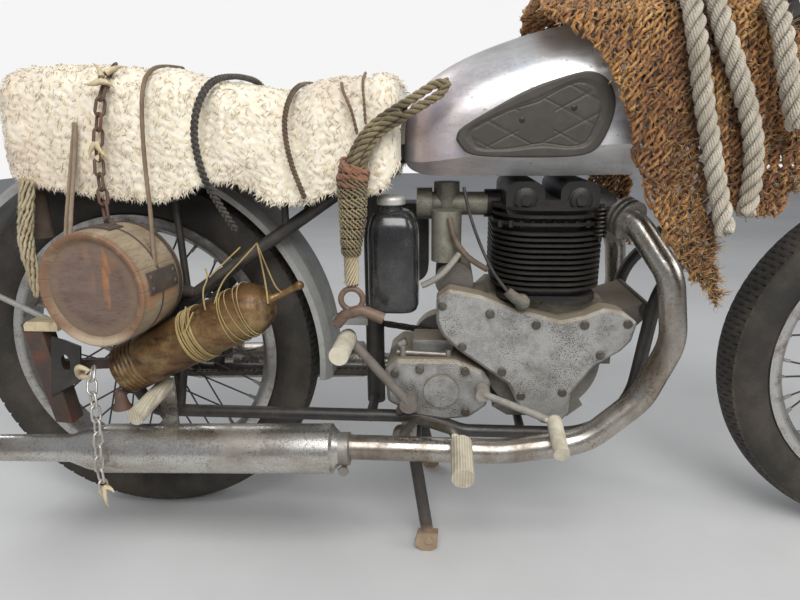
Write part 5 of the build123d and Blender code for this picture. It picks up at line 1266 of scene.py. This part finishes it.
for degrees, y in ((1, 0.022), (1, 0.080), (12, 0.022), (12, 0.080), (80, 0.036), (106, 0.056)):
    angle = math.radians(degrees)
    out = drum_side * math.cos(angle) + Vector((0, 0, math.sin(angle)))
    at = front + drum_axis * y + out * 0.0898
    form.lathe([(0, 0.0042), (0.0012, 0.0038), (0.0022, 0.0022)], at, at + out, 12)
foot = at_mm(122, -142, 482)
form.tube([foot, foot + Vector((0.004, 0.012, -0.006)), at_mm(140, -112, 468)], 0.010, 12)
form.tube(from_axle([(42, -158, 586), (40, -164, 594), (52, -172, 597), (60, -178, 590)]), 0.0045, 10)
form.done("drum_ironwork", hoop, slot="rusty_iron", bend=50)

# Bottle: a spun brass cylinder with a ridged foot and a knobbed end, slung by wire from the frame lug.
# Gold cord and wire are wound round it; twigs of wire stick up from the winding.
AXIS = Vector((276, 0, 135)).normalized()
FOOT = at_mm(27, -165, 343)
brass = worn("old_brass", (0.185, 0.10, 0.04), (0.045, 0.022, 0.012), (0.40, 0.30, 0.13), 26, 1.2, 0.7, 0.5,
             (0.26, 0.5), 0.5, 0.0008, crevice=0.0, grain=(0.6, 1.0, 1.6))
BOTTLE_RADIUS = 0.0428
form = Form()
ribs = [(0.022 + 0.0075 * index + 0.0075 * part / 4, 0.0425 - 0.0018 * (part == 2)) for index in range(5)
        for part in range(4)]
form.lathe([(0.014, 0.001), (0.012, 0.034), (0.013, 0.0395), (0.016, 0.042), *ribs, (0.070, 0.0424), (0.180, 0.0426),
            (0.252, 0.0420), (0.268, 0.0395), (0.280, 0.0345), (0.289, 0.027), (0.294, 0.018), (0.297, 0.0095),
            (0.300, 0.0062), (0.340, 0.0056), (0.343, 0.0068), (0.350, 0.0068), (0.353, 0.004)],
           FOOT, FOOT + AXIS, 64)
form.done("brass_bottle", brass, replaces=["bottle"], slot="old_brass", bend=50)
gold_cord = fibre("gold_cord", (0.55, 0.42, 0.16), (0.28, 0.18, 0.06))
sideways = Vector((0, 1, 0))
form = Form()
for start, count, step, thick, slack in ((0.148, 9, 0.0031, 0.0014, 0.0012), (0.222, 5, 0.0095, 0.0009, 0.004)):
    for winding in range(count):
        middle = FOOT + AXIS * (start + step * winding)
        loop = []
        for part in range(40):
            angle = math.tau * part / 40
            loop.append(middle + radial(sideways, AXIS.cross(sideways), angle) * (BOTTLE_RADIUS + thick)
                        + AXIS * slack * math.sin(angle + winding * 1.7))
        form.tube(loop, thick, 6, closed=True)
for route in ([(206, -196, 452), (212, -178, 496), (236, -140, 524), (262, -122, 553)],
              [(262, -122, 553), (276, -150, 528), (292, -184, 492), (296, -196, 474)],
              [(262, -122, 553), (284, -150, 520), (306, -176, 488), (312, -168, 484)],
              [(196, -190, 452), (192, -196, 490), (204, -186, 512), (196, -178, 524)],
              [(204, -186, 512), (226, -170, 534), (244, -150, 552)],
              [(158, -204, 420), (166, -208, 448), (170, -204, 470)],
              [(164, -206, 424), (176, -210, 452), (182, -206, 462)]):
    form.tube(laid(route, 0.004), 0.0013, 6)
form.done("bottle_windings", gold_cord, slot="rope_fibre", bend=80)

# Net: coarse coir yarn knitted in columns of loops, hung over the tank in two falls.
# Every column is two strands that cross at each loop; cross yarns tie the columns and loose fibre stands out.


def coir_finish(name, gold=0.0):
    finish = Finish(name, rough=0.85, Sheen_Weight=0.25)
    broad = finish.noise(14, 4, 0.6)
    fine = finish.noise(420, 4, 0.75, stretch=(1.0, 1.0, 0.5))
    middle = finish.noise(110, 3, 0.6)
    colour = finish.node("ShaderNodeValToRGB", {"stops": [
        (0.36, (0.075, 0.026, 0.009)), (0.45, (0.27, 0.10, 0.025)), (0.54, (0.55, 0.26, 0.065)),
        (0.64, (0.86, 0.53, 0.19))]}, {0: broad * 0.4 + middle * 0.35 + fine * 0.25 + gold})
    # Hollows between the yarns go near black: painted shade.
    colour = finish.mix(finish.hollows(0.016), colour, (0.035, 0.013, 0.005))
    return finish.end(colour, height=fine, strength=0.9, depth=0.0014)


coir = coir_finish("coir_yarn")
loose_coir = coir_finish("loose_coir", 0.12)
NET_LINE = [(0, 918), (60, 918), (92, 911), (142, 880), (166, 803), (172, 700), (173, 645), (203, 566), (206, 485)]
NET_RUNS = [0.0]
for (y1, z1), (y2, z2) in zip(NET_LINE, NET_LINE[1:]):
    NET_RUNS.append(NET_RUNS[-1] + math.hypot(y2 - y1, z2 - z1))
REAR_FALL = ([(485, 946), (500, 938), (520, 908), (574, 872), (628, 847), (675, 828), (744, 812), (788, 791),
              (837, 760), (861, 731), (873, 700), (925, 687)],
             [(485, 950), (500, 952), (542, 946), (723, 912), (885, 900), (925, 900)])
FRONT_FALL = ([(606, 975), (613, 966), (660, 938), (700, 918), (800, 905), (905, 898), (925, 898)],
              [(606, 1018), (640, 1044), (700, 1056), (800, 1048), (846, 1036), (872, 1000), (925, 985)])


def net_point(along, out):
    """A point on the net: along the machine, and out and down from the middle line, in millimetres."""
    reach = abs(out)
    y, z = (float(np.interp(reach, NET_RUNS, values)) for values in zip(*NET_LINE))
    outward = Vector((0, math.copysign(max(0.0, reach - 60) / 60, out), max(0.0, 150 - reach) / 90)).normalized()
    return Vector((REAR + along / 1000, math.copysign(y, out) / 1000, z / 1000)), outward, z


def fold(along, out):
    """The net hangs in soft upright folds, 0 in a hollow and 9 mm on a crest."""
    swell = 0.5 + 0.5 * math.sin(along * 0.105 + 1.6 * math.sin(out * 0.011) + out * 0.004)
    return 0.009 * swell * min(1.0, max(0.0, abs(out) - 120) / 140)


def inside_fall(along, z, fall):
    rear_edge, front_edge = fall
    return z >= rear_edge[0][0] and level_at(z, rear_edge) <= along <= level_at(z, front_edge)


def fall_yarns(form, fall, spacing, slant, sway, loop, yarn, lift, seed, step=5.0, sides=5):
    """Yarns over a fall of the net; each is kept where it lies between the fall's edges."""
    chance = random.Random(seed)
    reach = NET_RUNS[-1]
    low, high = min(x for _, x in fall[0]), max(x for _, x in fall[1])
    kept = []

    def keep(line):
        if len(line) > 3:
            form.tube(line, [yarn * chance.uniform(0.75, 1.25) for _ in line], sides)
            kept.append(line)

    shift = low - abs(slant) * 2 * reach
    while shift < high + abs(slant) * 2 * reach:
        drift = chance.uniform(-2, 2)
        for strand in (0, math.pi):
            line = []
            for index in range(int(2 * reach / step) + 1):
                out = -reach + index * step
                bow = math.sin(out * 0.021 + shift * 0.05) * 3 + drift + 5 * noise.noise(
                    Vector((shift * 0.013, out * 0.017, seed)))
                along = shift + slant * (reach - abs(out)) + bow
                turn = math.tau * out / loop + strand
                along += sway * math.sin(turn) + chance.uniform(-0.9, 0.9)
                place, outward, z = net_point(along, out)
                if inside_fall(along, z, fall):
                    place += noise.noise_vector(place * 70 + Vector((seed, strand, 0))) * 0.0034
                    line.append(place + outward * (lift + fold(along, out) + yarn * 1.1 * math.cos(turn)
                                                   + chance.uniform(-6e-4, 6e-4)))
                else:
                    keep(line)
                    line = []
            keep(line)
        shift += spacing
    return kept


def tie_yarns(form, fall, spacing, yarn, lift, seed):
    """Yarns along the machine that tie the columns of a fall together."""
    chance = random.Random(seed)
    out = -NET_RUNS[-1] + 6
    low, high = min(x for _, x in fall[0]), max(x for _, x in fall[1])
    while out < NET_RUNS[-1]:
        line = []
        for index in range(int((high - low) / 5) + 1):
            along = low + index * 5
            here = out + 4.5 * math.sin(along * 0.42 + out) + chance.uniform(-0.8, 0.8)
            place, outward, z = net_point(along, here)
            if inside_fall(along, z, fall):
                line.append(place + outward * (lift + fold(along, here) + yarn * math.sin(along * 0.42)))
            elif len(line) > 2:
                form.tube(line, [yarn * chance.uniform(0.8, 1.2) for _ in line], 4)
                line = []
        if len(line) > 2:
            form.tube(line, [yarn * chance.uniform(0.8, 1.2) for _ in line], 4)
        out += spacing


def fuzz(lines, count, seed):
    """Loose fibre out of the yarns; it is short above the tank's top, where the bars pass over."""
    form = Form()
    chance = random.Random(seed)
    reach = 0.016
    for _ in range(count):
        line = lines[chance.randrange(len(lines))]
        root = line[chance.randrange(len(line))]
        lean = Vector([chance.uniform(-1, 1) for _ in range(3)]).normalized()
        lean += Vector((0, math.copysign(0.7, root.y), 0.2))
        bow = Vector([chance.uniform(-1, 1) for _ in range(3)]) * reach * 0.35
        length = reach * chance.uniform(0.4, 1.2) * (0.35 if root.z > 0.90 else 1.0)
        form.spike([root, root + lean * length * 0.5 + bow * length / reach, root + lean * length], 0.0006)
    return form


for side, fall, spacing, slant, loop, ties, hair, seed, replaced, flat, area in (
        ("rear", REAR_FALL, 15.5, 0.18, 30, 15.0, 6600, 21, ["coir_net"], (0.50, 1.11), 0.34),
        ("front", FRONT_FALL, 13.0, -0.05, 24, 8.5, 4600, 22, [], (0.43, 0.87), 0.30)):
    form = Form()
    lines = fall_yarns(form, fall, spacing, slant, 4.6, loop, 0.0025, 0.0, seed)
    lines += fall_yarns(form, fall, spacing * 0.9, slant - 0.1, 5.0, loop * 1.3, 0.0034, -0.0055, seed + 3, 8.0, 4)
    tie_yarns(form, fall, ties, 0.0017, -0.0025, seed + 5)
    net = form.done("coir_net_" + side, coir, replaces=replaced, slot="coir", bend=180)
    loose = fuzz(lines, hair, seed + 9).done("coir_fuzz_" + side, loose_coir, slot="coir", bend=180)

# Floor and light: a pale plain floor, a broad soft light by the camera, a weaker one at each end and weak fill.
# The background is white to the camera alone; all else sees the weak blue fill.
floor = bpy.data.objects.new("floor", bpy.data.meshes.new("floor"))
floor.data.from_pydata([(-7, -5, 0), (7, -5, 0), (7, 9, 0), (-7, 9, 0)], [], [(0, 1, 2, 3)])
bpy.context.scene.collection.objects.link(floor)
finish = Finish("pale_floor", rough=0.55)
mottle = finish.noise(1.4, 5, 0.6)
finish.end(finish.mix(mottle.between(0.35, 0.7), (0.62, 0.62, 0.61), (0.54, 0.54, 0.53)))
floor.data.materials.append(finish.material)
world = bpy.data.worlds.new("studio")
bpy.context.scene.world = world
world.use_nodes = True
background = world.node_tree.nodes["Background"]
background.inputs["Color"].default_value = (0.9, 0.93, 1.0, 1)
background.inputs["Strength"].default_value = 0.30
seen = world.node_tree.nodes.new("ShaderNodeBackground")
seen.inputs["Color"].default_value = (1, 1, 1, 1)
seen.inputs["Strength"].default_value = 0.92
path = world.node_tree.nodes.new("ShaderNodeLightPath")
choose = world.node_tree.nodes.new("ShaderNodeMixShader")
world.node_tree.links.new(path.outputs["Is Camera Ray"], choose.inputs[0])
world.node_tree.links.new(background.outputs[0], choose.inputs[1])
world.node_tree.links.new(seen.outputs[0], choose.inputs[2])
world.node_tree.links.new(choose.outputs[0], world.node_tree.nodes["World Output"].inputs[0])
for name, place, aim, size, power in (
        ("key_light", (0.2, -2.2, 2.6), (0, 0, 0.5), 2.0, 92),
        ("rear_light", (-2.0, 1.8, 2.4), (0, 0, 0.5), 1.8, 30),
        ("front_light", (2.4, -0.6, 2.0), (0.3, 0, 0.5), 1.6, 30)):
    lamp = bpy.data.lights.new(name, "AREA")
    lamp.size = size
    lamp.energy = power
    holder = bpy.data.objects.new(name, lamp)
    holder.location = place
    holder.rotation_euler = (Vector(aim) - Vector(place)).to_track_quat("-Z", "Y").to_euler()
    bpy.context.scene.collection.objects.link(holder)
